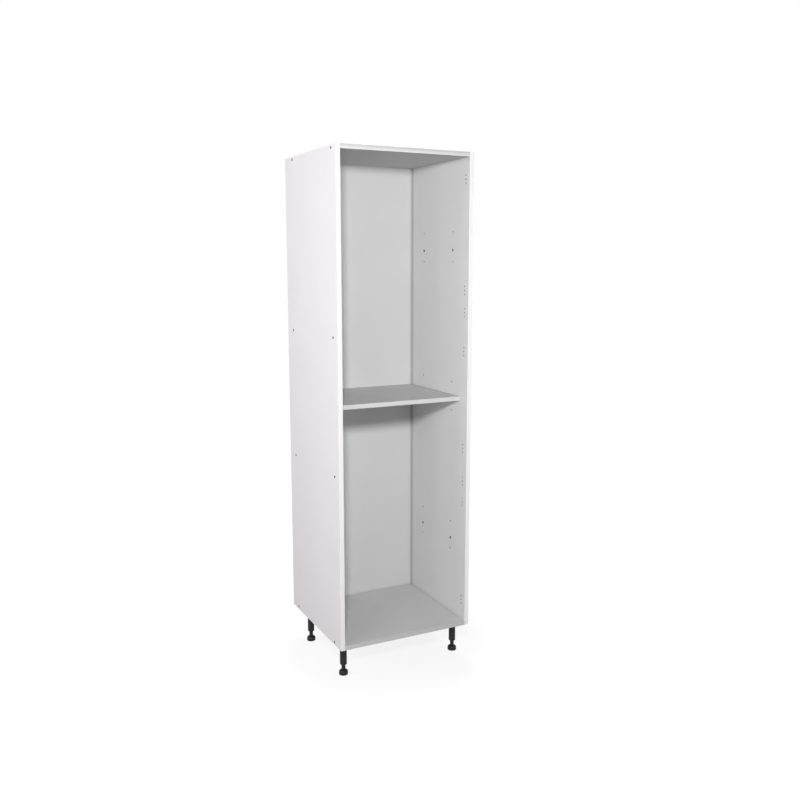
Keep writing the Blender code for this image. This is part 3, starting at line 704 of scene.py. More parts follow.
def edging_outline(low, high):
    """A strip's section as (y, t), anticlockwise, with a quarter circle at each of its front corners.

    Each arc is centre + R (-cos(a), -sin(a)) or its mirror, with a short flat on both sides of it that
    keeps the shading of the broad faces flat.
    """
    angle = np.linspace(0.0, math.pi / 2, EDGING_STEPS + 1)
    across = EDGING_RADIUS * (1 - np.sin(angle))
    inwards = EDGING_RADIUS * (1 - np.cos(angle))
    hold = EDGING_RADIUS + EDGING_HOLD
    low_corner = np.column_stack((low[0] + inwards, low[1] + across))
    high_corner = np.column_stack((low[0] + inwards, high[1] - across))[::-1]
    holds = np.array((
        (low[0] + hold, low[1]),
        (low[0] + hold, high[1]),
        (low[0], high[1] - hold),
        (low[0], low[1] + hold),
    ))
    back = np.array(((high[0], low[1]), (high[0], high[1])))
    return np.concatenate((holds[:1], back, holds[1:2], high_corner, holds[2:], low_corner))


# Lit and shaded copies of one white strip: painted light and painted shade.
left_strip = edging_material("white_edging_left_painted_light", LEFT_PAINTED_LIGHT_TONE)
right_strip = edging_material("white_edging_right_painted_light", RIGHT_PAINTED_LIGHT_TONE)
top_strip = edging_material("white_edging_top_painted_shade", TOP_PAINTED_SHADE_TONE, carcass_high_z)
shelf_strip = edging_material("white_edging_shelf_painted_shade", SHELF_PAINTED_SHADE_TONE)
base_strip = edging_material("grey_edging_base", BASE_TONE)
for node, body, board_node, strip in (
    ("side_edging_left", "carcass", "side_panel_left", left_strip),
    ("side_edging_right", "carcass", "side_panel_right", right_strip),
    ("top_edging", "carcass", "top_panel", top_strip),
    ("base_edging", "carcass", "base_panel", base_strip),
    ("shelf_edging", "shelf", "shelf_panel", shelf_strip),
):
    low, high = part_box(node)
    back_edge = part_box(board_node)[0].y - GLUE_LINE
    if strip in (left_strip, right_strip):
        section = edging_outline((low.y, low.x), (back_edge, high.x))
        points, faces = bored_board(section, (low.z, high.z), [])[:2]
        points = points[:, (1, 0, 2)]
        faces = [face[::-1] for face in faces]
    else:
        reach = low.x if body == "shelf" else -end_x
        section = edging_outline((low.y, low.z), (back_edge, high.z))
        points, faces = bored_board(section, (reach, -reach), [])[:2]
        points = np.roll(points, 1, axis=1)
    piece = finish_mesh(f"front_{node}", points, faces, [strip])
    stand_in(piece, node, body)


# Panel screws
# Eight joining screws with a countersunk head and a key socket. They are driven from outside through the
# sides into the ends of the top and base, until the heads are just below the white face.

SCREW_STEPS = 48
HEAD_RADIUS = 0.0049
SHANK_RADIUS = 0.0034
CORE_RADIUS = 0.0025
SCREW_LENGTH = 0.050
SHANK_LENGTH = 0.009
TIP_LENGTH = 0.004
TIP_RADIUS = 0.0015
SCREW_PITCH = 0.003
RINGS_A_TURN = 10
THREAD_FLANK = 0.28
THREAD_CREST = 0.12
KEY_SIDES = 6
KEY_HALF_WIDTH = 0.002
KEY_DEPTH = 0.0025
HEAD_ROUNDING = 0.0002


def turned_shape(angle, *rings, closed=False):
    """Turn a profile round Z: x = r cos(a), y = r sin(a), z = h, and return its points and faces.

    Each ring is (radius, height), where the radius may change with the angle, and an arc or a thread has a
    row for each of its rings. The profile climbs its outside. It starts and ends in a point on the axis,
    unless it is closed on itself.
    """
    rows = [np.atleast_2d(radius + 0.0 * angle) for radius, height in rings]
    radii = np.concatenate(rows)
    heights = np.concatenate([np.broadcast_to(ring[1], row.shape) for ring, row in zip(rings, rows)])
    grid = np.stack((radii * np.cos(angle), radii * np.sin(angle), heights), axis=-1).reshape(-1, 3)
    numbers = np.arange(radii.size).reshape(radii.shape)
    if closed:
        return grid, bands(np.vstack((numbers, numbers[:1]))).tolist()
    low_pole = np.full(angle.size, radii.size)
    low_fan = np.stack((low_pole, np.roll(numbers[0], -1), numbers[0]), axis=-1)
    high_fan = np.stack((low_pole + 1, numbers[-1], np.roll(numbers[-1], -1)), axis=-1)
    poles = np.array(((0.0, 0.0, heights[0].mean()), (0.0, 0.0, heights[-1].mean())))
    return np.concatenate((grid, poles)), bands(numbers).tolist() + low_fan.tolist() + high_fan.tolist()


def thread(angle, low, high, pitch, core, crest):
    """Rings of a screw thread: r = core + (crest - core) * ridge(h / pitch - a / 2 pi).

    The ridge is a flat crest between two flanks, and it dies away over one pitch at both ends.
    """
    count = int(round((high - low) / pitch * RINGS_A_TURN)) + 1
    heights = np.linspace(low, high, count)[:, None]
    phase = (heights / pitch - angle / math.tau) % 1.0
    away = np.abs(phase - 0.5)
    ridge = np.clip((THREAD_CREST + THREAD_FLANK - away) / THREAD_FLANK, 0.0, 1.0)
    ends = np.clip(np.minimum(heights - low, high - heights) / pitch, 0.0, 1.0)
    return core + (crest - core) * ridge * ends, heights


def many_sided(angle, sides, half_width):
    """The radius at each angle of a socket with flat sides: half width / cos(angle from a side)."""
    wedge = math.tau / sides
    return half_width / np.cos((angle + wedge / 2) % wedge - wedge / 2)


METAL_PATCH_SCALE = 220.0
METAL_SCRATCHES = (900.0, 5000.0, 900.0)
METAL_RELIEF = 0.00001


def metal_group():
    """Plated steel: cloudy patches a few millimetres wide, and scratches a millimetre long."""
    inputs = {"Place": "vector", "Dark": "colour", "Light": "colour", "Low": "value", "High": "value"}
    tree, given, result = new_group("plated steel", inputs, FINISH_OUTPUTS)
    share = ramp(tree, noise(tree, given["Place"], METAL_PATCH_SCALE, detail=4.0), *PATCH_EDGES)
    scratch = noise(tree, stretched(tree, given["Place"], METAL_SCRATCHES), scale=1.0, detail=3.0)
    tree.links.new(blend_colours(tree, share, given["Dark"], given["Light"]), result["Colour"])
    wear = maths(tree, "MULTIPLY", maths(tree, "ADD", scratch, share), 0.5)
    tree.links.new(mixed(tree, wear, given["Low"], given["High"]), result["Roughness"])
    tree.links.new(scratch, result["Height"])
    return tree


PLATED_STEEL = metal_group()


def steel_material(name, dark, light, smoothest, roughest, metallic):
    """Steel with a finish that changes between two colours and two roughnesses."""
    material, tree, shader, place = new_material(name)
    inputs = {"Place": place, "Dark": dark, "Light": light, "Low": smoothest, "High": roughest}
    metal = place_group(tree, PLATED_STEEL, inputs)
    shader.inputs["Metallic"].default_value = metallic
    surface(tree, shader, metal["Colour"], metal["Roughness"], metal["Height"], METAL_RELIEF)
    return material


black_steel = steel_material(
    "blackened_screw_steel",
    dark=(0.008, 0.008, 0.009, 1.0),
    light=(0.02, 0.019, 0.018, 1.0),
    smoothest=0.5,
    roughest=0.7,
    metallic=0.3,
)
angle = round_angles(SCREW_STEPS)
key = many_sided(angle, KEY_SIDES, KEY_HALF_WIDTH)
head_level = -SCREW_SINK
countersink = head_level - SCREW_HEAD_HEIGHT
screw_points, screw_faces = turned_shape(
    angle,
    (TIP_RADIUS, -SCREW_LENGTH),
    thread(angle, TIP_LENGTH - SCREW_LENGTH, -SHANK_LENGTH, SCREW_PITCH, CORE_RADIUS, SHANK_RADIUS),
    (SHANK_RADIUS, -SHANK_LENGTH + (SHANK_RADIUS - CORE_RADIUS)),
    (SHANK_RADIUS, countersink),
    (HEAD_RADIUS, head_level - HEAD_ROUNDING),
    (HEAD_RADIUS - HEAD_ROUNDING, head_level),
    (key + HEAD_ROUNDING, head_level),
    (key, head_level - HEAD_ROUNDING),
    (key, head_level - KEY_DEPTH),
)
across_screw = np.roll(screw_points, 1, axis=1)
for level, side, row in BOARD_ENDS:
    node = f"panel_screw_{level}_{side}_{row}"
    sign = SIDE_SIGNS[side]
    place = middle(node)
    points = across_screw * (sign, sign, 1) + (sign * outer_x, place.y, place.z)
    piece = finish_mesh(f"joining_screw_{level}_{side}_{row}", points, screw_faces, [black_steel])
    stand_in(piece, node, "carcass")


# Dowels
# Eight fluted beech pins, glued half into the sides and half into the ends of the top and base. They
# line the boards up and carry the load that the screws clamp.

DOWEL_RADIUS = 0.004
DOWEL_CHAMFER = 0.001
FLUTE_COUNT = 20
FLUTE_DEPTH = 0.0002
FLUTE_POINTS = 6
BEECH_FIBRES = (60.0, 1500.0, 1500.0)
BEECH_FLECKS = (300.0, 2600.0, 2600.0)
BEECH_FLECK_EDGES = (0.12, 0.2)
BEECH_FLECK_SHARE = 0.55
BEECH_DARK = (0.50, 0.33, 0.19, 1.0)
BEECH_LIGHT = (0.68, 0.50, 0.33, 1.0)
BEECH_FLECK = (0.36, 0.21, 0.11, 1.0)
BEECH_ROUGHNESS = (0.6, 0.8)
BEECH_RELIEF = 0.00004


def beech_material():
    """Beech with its grain along X: drawn-out fibres, and short darker flecks."""
    material, tree, shader, place = new_material("beech_pin")
    fibre = noise(tree, stretched(tree, place, BEECH_FIBRES), scale=1.0, detail=4.0)
    fleck = cells(tree, stretched(tree, place, BEECH_FLECKS), 1.0)["Distance"]
    grain = blend_colours(tree, ramp(tree, fibre, *PATCH_EDGES), BEECH_DARK, BEECH_LIGHT)
    spots = ramp(tree, fleck, *BEECH_FLECK_EDGES, BEECH_FLECK_SHARE, 0.0)
    colour = blend_colours(tree, spots, grain, BEECH_FLECK)
    rough = ramp(tree, fibre, NOISE_LOW, NOISE_HIGH, *BEECH_ROUGHNESS)
    surface(tree, shader, colour, rough, fibre, BEECH_RELIEF)
    return material


beech = beech_material()
angle = round_angles(FLUTE_COUNT * FLUTE_POINTS)
flutes = DOWEL_RADIUS - FLUTE_DEPTH * (0.5 - 0.5 * np.cos(FLUTE_COUNT * angle))
for level, side, row in BOARD_ENDS:
    node = f"dowel_{level}_{side}_{row}"
    low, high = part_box(node)
    points, faces = turned_shape(
        angle,
        (DOWEL_RADIUS - DOWEL_CHAMFER, low.x),
        (flutes, low.x + DOWEL_CHAMFER),
        (flutes, high.x - DOWEL_CHAMFER),
        (DOWEL_RADIUS - DOWEL_CHAMFER, high.x),
    )
    place = middle(node)
    points = np.roll(points, 1, axis=1) + (0.0, place.y, place.z)
    piece = finish_mesh(f"joint_dowel_{level}_{side}_{row}", points, faces, [beech])
    stand_in(piece, node, "carcass")


# Shelf pegs
# Four turned steel pegs, pushed into the bores of the sides. Each head is milled flat on top, and the
# shelf lies on the flats.

PEG_STEPS = 64
PEG_PIN_RADIUS = 0.0047
PEG_PIN_LENGTH = 0.010
PEG_HEAD_LENGTH = 0.008
PEG_SHOULDER = 0.0003
PEG_DISH = 0.00005
PEG_EDGE = 0.0005
PEG_ROUND_SHARE = 0.3
PEG_GROOVE_DEPTH = 0.0003

zinc = steel_material(
    "bright_zinc_steel",
    dark=(0.40, 0.40, 0.41, 1.0),
    light=(0.62, 0.62, 0.63, 1.0),
    smoothest=0.25,
    roughest=0.42,
    metallic=1.0,
)
peg_points, peg_faces = turned_shape(
    round_angles(PEG_STEPS),
    (PEG_PIN_RADIUS - PEG_EDGE * 2, -PEG_PIN_LENGTH),
    (PEG_PIN_RADIUS, PEG_EDGE * 2 - PEG_PIN_LENGTH),
    (PEG_PIN_RADIUS, -PEG_EDGE),
    (PEG_PIN_RADIUS - PEG_GROOVE_DEPTH, 0.0),
    (PEG_PIN_RADIUS - PEG_GROOVE_DEPTH, PEG_SHOULDER),
    (PEG_HEAD_RADIUS - PEG_EDGE / 2, PEG_SHOULDER + PEG_DISH),
    (PEG_HEAD_RADIUS, PEG_SHOULDER + PEG_EDGE / 2),
    (PEG_HEAD_RADIUS, PEG_HEAD_LENGTH - PEG_EDGE),
    (PEG_HEAD_RADIUS - PEG_EDGE * PEG_ROUND_SHARE, PEG_HEAD_LENGTH - PEG_EDGE * PEG_ROUND_SHARE),
    (PEG_HEAD_RADIUS - PEG_EDGE, PEG_HEAD_LENGTH),
)
across_peg = np.roll(peg_points, 1, axis=1)
flat_level = shelf_low.z - END_SEAM
for side, row in CORNERS:
    node = f"shelf_peg_{side}_{row}"
    sign = SIDE_SIGNS[side]
    low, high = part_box(node)
    points = across_peg * (-sign, -sign, 1)
    points += (sign * inner_x, (low.y + high.y) / 2, low.z + PEG_HEAD_RADIUS)
    in_head = np.abs(points[:, 0]) < inner_x - PEG_SHOULDER / 2
    points[:, 2] = np.where(in_head, np.minimum(points[:, 2], flat_level), points[:, 2])
    piece = finish_mesh(f"turned_peg_{side}_{row}", points, peg_faces, [zinc])
    stand_in(piece, node, "carcass")


# Leg sockets
# Moulded black flanges under the base, straddling the joint with the side. A collar with eight gussets
# grips the leg tube, and four screws pass through the flange.

LEG_STEPS = 96
FLANGE_RADIUS = 0.034
FLANGE_THICKNESS = 0.003
FLANGE_EDGE = 0.0006
COLLAR_RADIUS = 0.018
COLLAR_HEIGHT = 0.022
COLLAR_LIP = 0.0012
SEAT_RADIUS = 0.0147
SEAT_LEAD = 0.0008
GUSSET_COUNT = 8
GUSSET_THICKNESS = 0.002
GUSSET_TAPER = 0.8
GUSSET_REACH = 0.0115
GUSSET_HEIGHT_SHARE = 0.7
SOCKET_HOLE_RADIUS = 0.0021
SOCKET_HOLE_STEPS = 24
SPARK_SCALE = 2600.0
SPARK_ROUGHNESS = 0.12
FLOW_SCALE = 55.0
PLASTIC_DARK = (0.009, 0.009, 0.01, 1.0)
PLASTIC_LIGHT = (0.015, 0.015, 0.016, 1.0)
PLASTIC_ROUGHNESS = (0.55, 0.42)
PLASTIC_SHEEN = 0.25
PLASTIC_RELIEF = 0.00004


def plastic_material():
    """Black moulded plastic: spark-eroded grain a third of a millimetre wide, dull with shinier rubs."""
    material, tree, shader, place = new_material("black_moulded_plastic")
    spark = noise(tree, place, SPARK_SCALE, detail=3.0)
    flow = noise(tree, place, FLOW_SCALE, detail=3.0)
    colour = blend_colours(tree, ramp(tree, flow, *PATCH_EDGES), PLASTIC_DARK, PLASTIC_LIGHT)
    rub = maths(tree, "SUBTRACT", spread(tree, flow, *PLASTIC_ROUGHNESS), SPARK_ROUGHNESS / 2)
    rough = maths(tree, "MULTIPLY_ADD", spark, SPARK_ROUGHNESS, rub)
    shader.inputs["Specular IOR Level"].default_value = PLASTIC_SHEEN
    surface(tree, shader, colour, rough, spark, PLASTIC_RELIEF)
    return material


def gusset(turn):
    """A wedge from the collar to the flange's edge, thinner along its free edge.

    The outline is (x, share of the thickness, z), and the wedge is its two mirror copies joined.
    """
    inner = (COLLAR_RADIUS + SEAT_RADIUS) / 2
    outer = COLLAR_RADIUS + GUSSET_REACH
    foot = -FLANGE_THICKNESS - COLLAR_HEIGHT * GUSSET_HEIGHT_SHARE
    outline = np.array((
        (inner, 1.0, -FLANGE_THICKNESS / 2),
        (inner, 1.0, foot),
        (COLLAR_RADIUS, GUSSET_TAPER, foot),
        (outer, GUSSET_TAPER, -FLANGE_THICKNESS - FLANGE_EDGE),
        (outer, 1.0, -FLANGE_THICKNESS / 2),
    ))
    half = GUSSET_THICKNESS / 2
    points = np.concatenate((outline * (1, half, 1), outline * (1, -half, 1)))
    spin = np.array(Matrix.Rotation(turn, 3, "Z"))
    numbers = np.arange(len(outline))
    faces = bands(np.stack((numbers, numbers + len(outline)))).tolist()
    faces += [numbers[::-1].tolist(), (numbers + len(outline)).tolist()]
    return points @ spin.T, faces


def gather(shapes):
    """Put several (points, faces) shapes into one mesh, each with its own point numbers."""
    faces = []
    start = 0
    for points, shape_faces in shapes:
        faces += [[number + start for number in face] for face in shape_faces]
        start += len(points)
    return np.concatenate([points for points, shape_faces in shapes]), faces


def cut_or_join(target, operation, shapes):
    """Cut shapes out of a piece or join them on, and keep the result as the piece's own mesh."""
    points, faces = gather(shapes)
    tool = bpy.data.objects.new("tool", bpy.data.meshes.new("tool"))
    tool.data.from_pydata(points.tolist(), [], faces)
    bpy.context.scene.collection.objects.link(tool)
    change = target.modifiers.new("change", "BOOLEAN")
    change.operation = operation
    change.solver = "EXACT"
    change.object = tool
    shown = target.evaluated_get(bpy.context.evaluated_depsgraph_get())
    changed = bpy.data.meshes.new_from_object(shown)
    target.modifiers.clear()
    target.data = changed
    bpy.data.objects.remove(tool)


leg_angle = round_angles(LEG_STEPS)
collar_end = -FLANGE_THICKNESS - COLLAR_HEIGHT
points, faces = turned_shape(
    leg_angle,
    (SEAT_RADIUS, -FLANGE_THICKNESS),
    (SEAT_RADIUS, collar_end + SEAT_LEAD),
    (SEAT_RADIUS + SEAT_LEAD, collar_end),
    (COLLAR_RADIUS - COLLAR_LIP / 2, collar_end),
    (COLLAR_RADIUS, collar_end + COLLAR_LIP / 2),
    (COLLAR_RADIUS, -FLANGE_THICKNESS),
    (FLANGE_RADIUS - FLANGE_EDGE, -FLANGE_THICKNESS),
    (FLANGE_RADIUS, FLANGE_EDGE - FLANGE_THICKNESS),
    (FLANGE_RADIUS, -FLANGE_EDGE),
    (FLANGE_RADIUS - FLANGE_EDGE, 0.0),
)
black_plastic = plastic_material()
pattern = finish_mesh("ribbed_socket_pattern", points, faces, [black_plastic])
cut_or_join(pattern, "UNION", [gusset(turn) for turn in round_angles(GUSSET_COUNT)])
socket_centre = middle("leg_socket_right_front")
hole_points, hole_faces = turned_shape(
    round_angles(SOCKET_HOLE_STEPS),
    (SOCKET_HOLE_RADIUS, -2 * FLANGE_THICKNESS),
    (SOCKET_HOLE_RADIUS, FLANGE_THICKNESS),
)
holes = []
for count in SCREW_COUNTS:
    screw = middle(f"leg_screw_right_front_{count}")
    holes.append((hole_points + (screw.x - socket_centre.x, screw.y - socket_centre.y, 0.0), hole_faces))
cut_or_join(pattern, "DIFFERENCE", holes)
pattern.data.shade_smooth()
pattern.data.set_sharp_from_angle(angle=SMOOTH_BELOW)
for side, row in CORNERS:
    node = f"leg_socket_{side}_{row}"
    place = middle(node)
    mesh = pattern.data.copy()
    mesh.transform(Matrix.Translation((place.x, place.y, carcass_low_z - END_SEAM)))
    piece = bpy.data.objects.new(f"ribbed_socket_{side}_{row}", mesh)
    bpy.context.scene.collection.objects.link(piece)
    stand_in(piece, node, "carcass")
bpy.data.objects.remove(pattern)


# Leg screws
# Sixteen pan-headed chipboard screws with a cross recess, driven up through the flanges into the base
# and into the lower edges of the sides.

LEG_HEAD_RADIUS = 0.00375
LEG_HEAD_HEIGHT = 0.0022
LEG_SHANK_RADIUS = 0.0018
LEG_CORE_RADIUS = 0.0012
LEG_SCREW_PITCH = 0.0016
LEG_TIP_LENGTH = 0.003
LEG_TIP_RADIUS = 0.0002
CROSS_REACH = 0.0019
CROSS_HALF_WIDTH = 0.00045
CROSS_DEPTH = 0.0014
CROSS_TAPER = 0.45
ARM_SIDE_SHARE = 1.5
DOME_STEPS = 5

quarter = math.pi / 2
corner = math.asin(CROSS_HALF_WIDTH / CROSS_REACH)
beside_arm = corner * ARM_SIDE_SHARE
across_arm = (-corner, -corner / 2, 0.0, corner / 2, corner)
quadrant = np.array((*across_arm, beside_arm, quarter / 2, quarter - beside_arm))
angle = np.concatenate([quadrant + turn * quarter for turn in range(4)])
from_arm = np.abs((angle + quarter / 2) % quarter - quarter / 2)
cross = CROSS_HALF_WIDTH / np.maximum(np.sin(from_arm), CROSS_HALF_WIDTH / CROSS_REACH)
dome = np.linspace(0.0, quarter, DOME_STEPS)[:, None]
dome_radii = LEG_HEAD_RADIUS - LEG_HEAD_HEIGHT / 2 * (1 - np.sin(dome))
dome_heights = -LEG_HEAD_HEIGHT / 2 - LEG_HEAD_HEIGHT / 2 * np.cos(dome)
leg_screw_low, leg_screw_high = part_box("leg_screw_right_front_1")
seat_level = leg_screw_low.z + LEG_HEAD_HEIGHT
tip_level = leg_screw_high.z - seat_level
neck_level = LEG_SHANK_RADIUS - LEG_CORE_RADIUS
end_level = tip_level - LEG_TIP_LENGTH
leg_screw_points, leg_screw_faces = turned_shape(
    angle,
    (cross * CROSS_TAPER, CROSS_DEPTH - LEG_HEAD_HEIGHT),
    (cross, -LEG_HEAD_HEIGHT),
    (dome_radii, dome_heights),
    (LEG_HEAD_RADIUS, 0.0),
    (LEG_SHANK_RADIUS, 0.0),
    thread(angle, neck_level, end_level, LEG_SCREW_PITCH, LEG_CORE_RADIUS, LEG_SHANK_RADIUS),
    (LEG_TIP_RADIUS, tip_level),
)
for side, row, count in leg_screws:
    node = f"leg_screw_{side}_{row}_{count}"
    place = middle(node)
    points = leg_screw_points + (place.x, place.y, seat_level)
    piece = finish_mesh(f"socket_screw_{side}_{row}_{count}", points, leg_screw_faces, [zinc])
    stand_in(piece, node, "carcass")


# Leg tubes
# Black moulded tubes pushed up into the collars. The thick lower end is chamfered outside and bored for
# the foot's stem, and the mould leaves two fine lines down the sides.

TUBE_RADIUS = 0.0145
TUBE_WALL = 0.0025
TUBE_END_THICKNESS = 0.009
TUBE_CHAMFER = 0.0038
TUBE_EDGE = 0.0005
STEM_RADIUS = 0.0085
STEM_PLAY = 0.0003
MOULD_LINE_HEIGHT = 0.00012
MOULD_LINE_WIDTH = 0.03

mould_line = MOULD_LINE_HEIGHT / TUBE_RADIUS * np.exp(-(np.sin(leg_angle) / MOULD_LINE_WIDTH) ** 2)
tube_wall = (TUBE_RADIUS - MOULD_LINE_HEIGHT) * (1.0 + mould_line)
tube_low, tube_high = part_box("leg_tube_right_front")
bore_radius = STEM_RADIUS + STEM_PLAY
tube_points, tube_faces = turned_shape(
    leg_angle,
    (bore_radius, tube_low.z + TUBE_END_THICKNESS),
    (bore_radius, tube_low.z + TUBE_EDGE),
    (bore_radius + TUBE_EDGE, tube_low.z),
    (TUBE_RADIUS - TUBE_CHAMFER - TUBE_EDGE / 2, tube_low.z),
    (TUBE_RADIUS - TUBE_CHAMFER + TUBE_EDGE / 4, tube_low.z + TUBE_EDGE / 2),
    (TUBE_RADIUS - TUBE_EDGE / 2, tube_low.z + TUBE_CHAMFER - TUBE_EDGE / 4),
    (TUBE_RADIUS - MOULD_LINE_HEIGHT / 2, tube_low.z + TUBE_CHAMFER + TUBE_EDGE / 2),
    (tube_wall, tube_low.z + TUBE_CHAMFER + TUBE_EDGE),
    (tube_wall, tube_high.z - TUBE_EDGE),
    (TUBE_RADIUS - TUBE_EDGE, tube_high.z),
    (TUBE_RADIUS - TUBE_WALL, tube_high.z),
    (TUBE_RADIUS - TUBE_WALL, tube_low.z + TUBE_END_THICKNESS),
    closed=True,
)
for side, row in CORNERS:
    node = f"leg_tube_{side}_{row}"
    place = middle(node)
    points = tube_points + (place.x, place.y, 0.0)
    piece = finish_mesh(f"moulded_tube_{side}_{row}", points, tube_faces, [black_plastic])
    stand_in(piece, node, "carcass")


# Feet
# Black moulded feet, turned by hand to level the unit. A rounded rim and a sloping shoulder lead up to
# the coarse thread of the stem, which runs in the tube.

FOOT_RADIUS = 0.019
FOOT_HEIGHT = 0.0205
FOOT_RIM_HEIGHT = 0.0115
FOOT_ROUNDING = 0.0016
FOOT_SOLE_RADIUS = 0.0155
FOOT_SOLE_RECESS = 0.0008
FOOT_ARC_STEPS = 8
STEM_LENGTH = 0.072
STEM_CORE_RADIUS = 0.0074
STEM_PITCH = 0.0035
STEM_RELIEF = 0.0015
STEM_CHAMFER = 0.0015

rim = np.linspace(0.0, quarter, FOOT_ARC_STEPS)[:, None]
rim_radii = FOOT_RADIUS - FOOT_ROUNDING * (1 - np.sin(rim))
rim_heights = FOOT_ROUNDING * (1 - np.cos(rim))
shoulder = np.linspace(0.0, quarter, 2 * FOOT_ARC_STEPS)[:, None]
shoulder_radii = STEM_RADIUS + (FOOT_RADIUS - STEM_RADIUS) * np.cos(shoulder)
shoulder_heights = FOOT_RIM_HEIGHT + (FOOT_HEIGHT - FOOT_RIM_HEIGHT) * np.sin(shoulder)
stem_top = FOOT_HEIGHT + STEM_LENGTH
stem_thread = thread(
    leg_angle, FOOT_HEIGHT + STEM_RELIEF, stem_top - STEM_CHAMFER, STEM_PITCH, STEM_CORE_RADIUS, STEM_RADIUS
)
foot_points, foot_faces = turned_shape(
    leg_angle,
    (FOOT_SOLE_RADIUS - FOOT_SOLE_RECESS, FOOT_SOLE_RECESS),
    (FOOT_SOLE_RADIUS, 0.0),
    (rim_radii, rim_heights),
    (shoulder_radii, shoulder_heights),
    (STEM_CORE_RADIUS, FOOT_HEIGHT + STEM_RELIEF / 2),
    stem_thread,
    (STEM_CORE_RADIUS - STEM_CHAMFER, stem_top),
)
for side, row in CORNERS:
    node = f"leg_foot_{side}_{row}"
    place = middle(node)
    points = foot_points + (place.x, place.y, 0.0)
    piece = finish_mesh(f"levelling_foot_{side}_{row}", points, foot_faces, [black_plastic])
    stand_in(piece, node, f"foot_{side}_{row}")


# Studio
# A broad pale floor, a small key lamp high in front, a large soft lamp at the left, weaker ones at the
# front left and right, and one high behind. To the camera the surround and the lit floor are white.

FLOOR_REACH = 30.0
FLOOR_COLOUR = (0.4, 0.4, 0.4, 1.0)
FLOOR_ROUGHNESS = 0.9
FLOOR_CLOUD_SCALE = 1.5
FLOOR_CLOUD = (0.99, 1.0)
FLOOR_SHADOW_SHARE = 0.35
FLOOR_LIFT_NEAR = 0.86
FLOOR_LIFT_FAR = 1.0
FLOOR_NEAR = 0.35
FLOOR_FAR = 0.9
SURROUND_STRENGTH = 0.02
WHITE = (1.0, 1.0, 1.0, 1.0)
SIDE_LAMP_TINT = (1.0, 0.93, 0.99)


def studio_lamp(name, place, aim, size, power, colour=WHITE[:3]):
    """A square soft lamp at a place, turned towards the point that it aims at."""
    lamp = bpy.data.lights.new(name, "AREA")
    lamp.shape = "SQUARE"
    lamp.size = size
    lamp.energy = power
    lamp.color = colour
    holder = bpy.data.objects.new(name, lamp)
    holder.location = place
    holder.rotation_euler = (Vector(aim) - Vector(place)).to_track_quat("-Z", "Y").to_euler()
    bpy.context.scene.collection.objects.link(holder)


def seen_share(tree):
    """One for the rays that the camera, mirrors and glass see, and nought for those that light."""
    rays = add(tree, "ShaderNodeLightPath").outputs
    seen = maths(tree, "MAXIMUM", rays["Is Camera Ray"], rays["Is Glossy Ray"])
    return maths(tree, "MAXIMUM", seen, rays["Is Transmission Ray"])


def floor_material():
    """Pale floor. Seen by the camera it is lifted to white, less a share of the shadow on it."""
    material, tree, shader, place = new_material("pale_floor")
    level = spread(tree, noise(tree, place, FLOOR_CLOUD_SCALE, detail=2.0), *FLOOR_CLOUD)
    tree.links.new(toned(tree, FLOOR_COLOUR, level), shader.inputs["Base Color"])
    shader.inputs["Roughness"].default_value = FLOOR_ROUGHNESS
    shader.inputs["Specular IOR Level"].default_value = 0.0
    away = add(tree, "ShaderNodeVectorMath", {0: place}, operation="LENGTH").outputs["Value"]
    strength = ramp(tree, away, FLOOR_NEAR, FLOOR_FAR, FLOOR_LIFT_NEAR, FLOOR_LIFT_FAR)
    lift = add(tree, "ShaderNodeEmission", {"Color": WHITE, "Strength": strength})
    dim = add(tree, "ShaderNodeBsdfDiffuse", {"Color": FLOOR_COLOUR})
    none = add(tree, "ShaderNodeBsdfTransparent", {"Color": grey(0.0)})
    shares = {0: FLOOR_SHADOW_SHARE, 1: none.outputs[0], 2: dim.outputs[0]}
    partly = add(tree, "ShaderNodeMixShader", shares)
    lifted = add(tree, "ShaderNodeAddShader", {0: partly.outputs[0], 1: lift.outputs[0]})
    layers = {0: seen_share(tree), 1: shader.outputs[0], 2: lifted.outputs[0]}
    both = add(tree, "ShaderNodeMixShader", layers)
    tree.links.new(both.outputs[0], tree.nodes["Material Output"].inputs["Surface"])
    return material


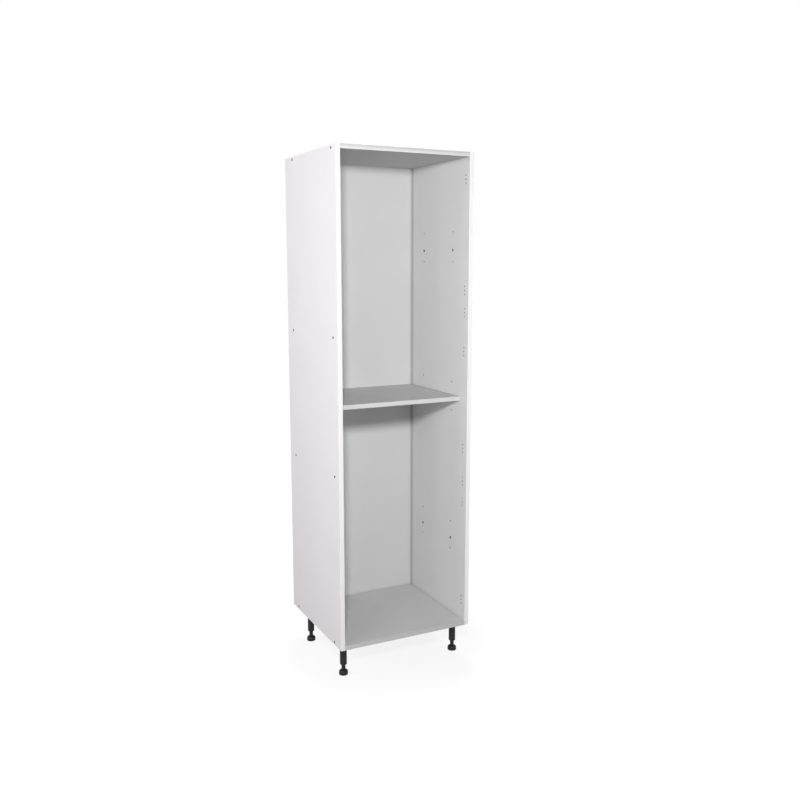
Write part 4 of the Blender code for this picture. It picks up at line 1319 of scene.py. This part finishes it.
def pale_surround():
    """An even light all round, which the camera and mirrors see as white."""
    world = bpy.data.worlds.new("pale_surround")
    bpy.context.scene.world = world
    world.use_nodes = True
    tree = world.node_tree
    strength = ramp(tree, seen_share(tree), 0.0, 1.0, SURROUND_STRENGTH, 1.0, smooth=False)
    tree.links.new(strength, tree.nodes["Background"].inputs["Strength"])
    tree.nodes["Background"].inputs["Color"].default_value = WHITE


floor_corners = np.array(((-1, -1, 0), (1, -1, 0), (1, 1, 0), (-1, 1, 0))) * FLOOR_REACH
floor = finish_mesh("floor", floor_corners, [[0, 1, 2, 3]], [floor_material()])
studio_lamp("key_lamp", place=(-1.41, -2.86, 2.16), aim=(0.0, 0.0, 1.1), size=0.28, power=76.0)
studio_lamp(
    "side_lamp", place=(-3.0, 0.3, 2.45), aim=(-0.3, 0.0, 1.3), size=2.2, power=57.0, colour=SIDE_LAMP_TINT
)
studio_lamp("front_lamp", place=(-2.9, -1.9, 1.7), aim=(0.2, 0.0, 1.2), size=1.4, power=28.0)
studio_lamp("right_lamp", place=(2.2, -2.8, 1.6), aim=(0.0, 0.0, 1.1), size=1.4, power=13.0)
studio_lamp("rear_lamp", place=(1.2, 2.4, 3.4), aim=(0.0, 0.1, 1.4), size=1.2, power=85.0)
pale_surround()


# Camera
# It stands at eye height in front and to the left, turned a little to the right and tipped down.

CAMERA_PLACE = (-1.58098, -3.33771, 1.68805)
CAMERA_TURN = math.radians(26.85)
CAMERA_TIP = math.radians(8.91)
CAMERA_LENS = 38.905
CAMERA_SENSOR = 36.0

forward = Vector((
    math.sin(CAMERA_TURN) * math.cos(CAMERA_TIP),
    math.cos(CAMERA_TURN) * math.cos(CAMERA_TIP),
    -math.sin(CAMERA_TIP),
))
rightward = Vector((math.cos(CAMERA_TURN), -math.sin(CAMERA_TURN), 0.0))
upward = rightward.cross(forward)
lens = bpy.data.cameras.new("camera")
lens.sensor_width = CAMERA_SENSOR
lens.lens = CAMERA_LENS
camera = bpy.data.objects.new("camera", lens)
turn = Matrix((rightward, upward, -forward)).transposed().to_4x4()
camera.matrix_world = Matrix.Translation(CAMERA_PLACE) @ turn
bpy.context.scene.collection.objects.link(camera)
bpy.context.scene.camera = camera
bpy.context.scene.view_settings.view_transform = "Standard"
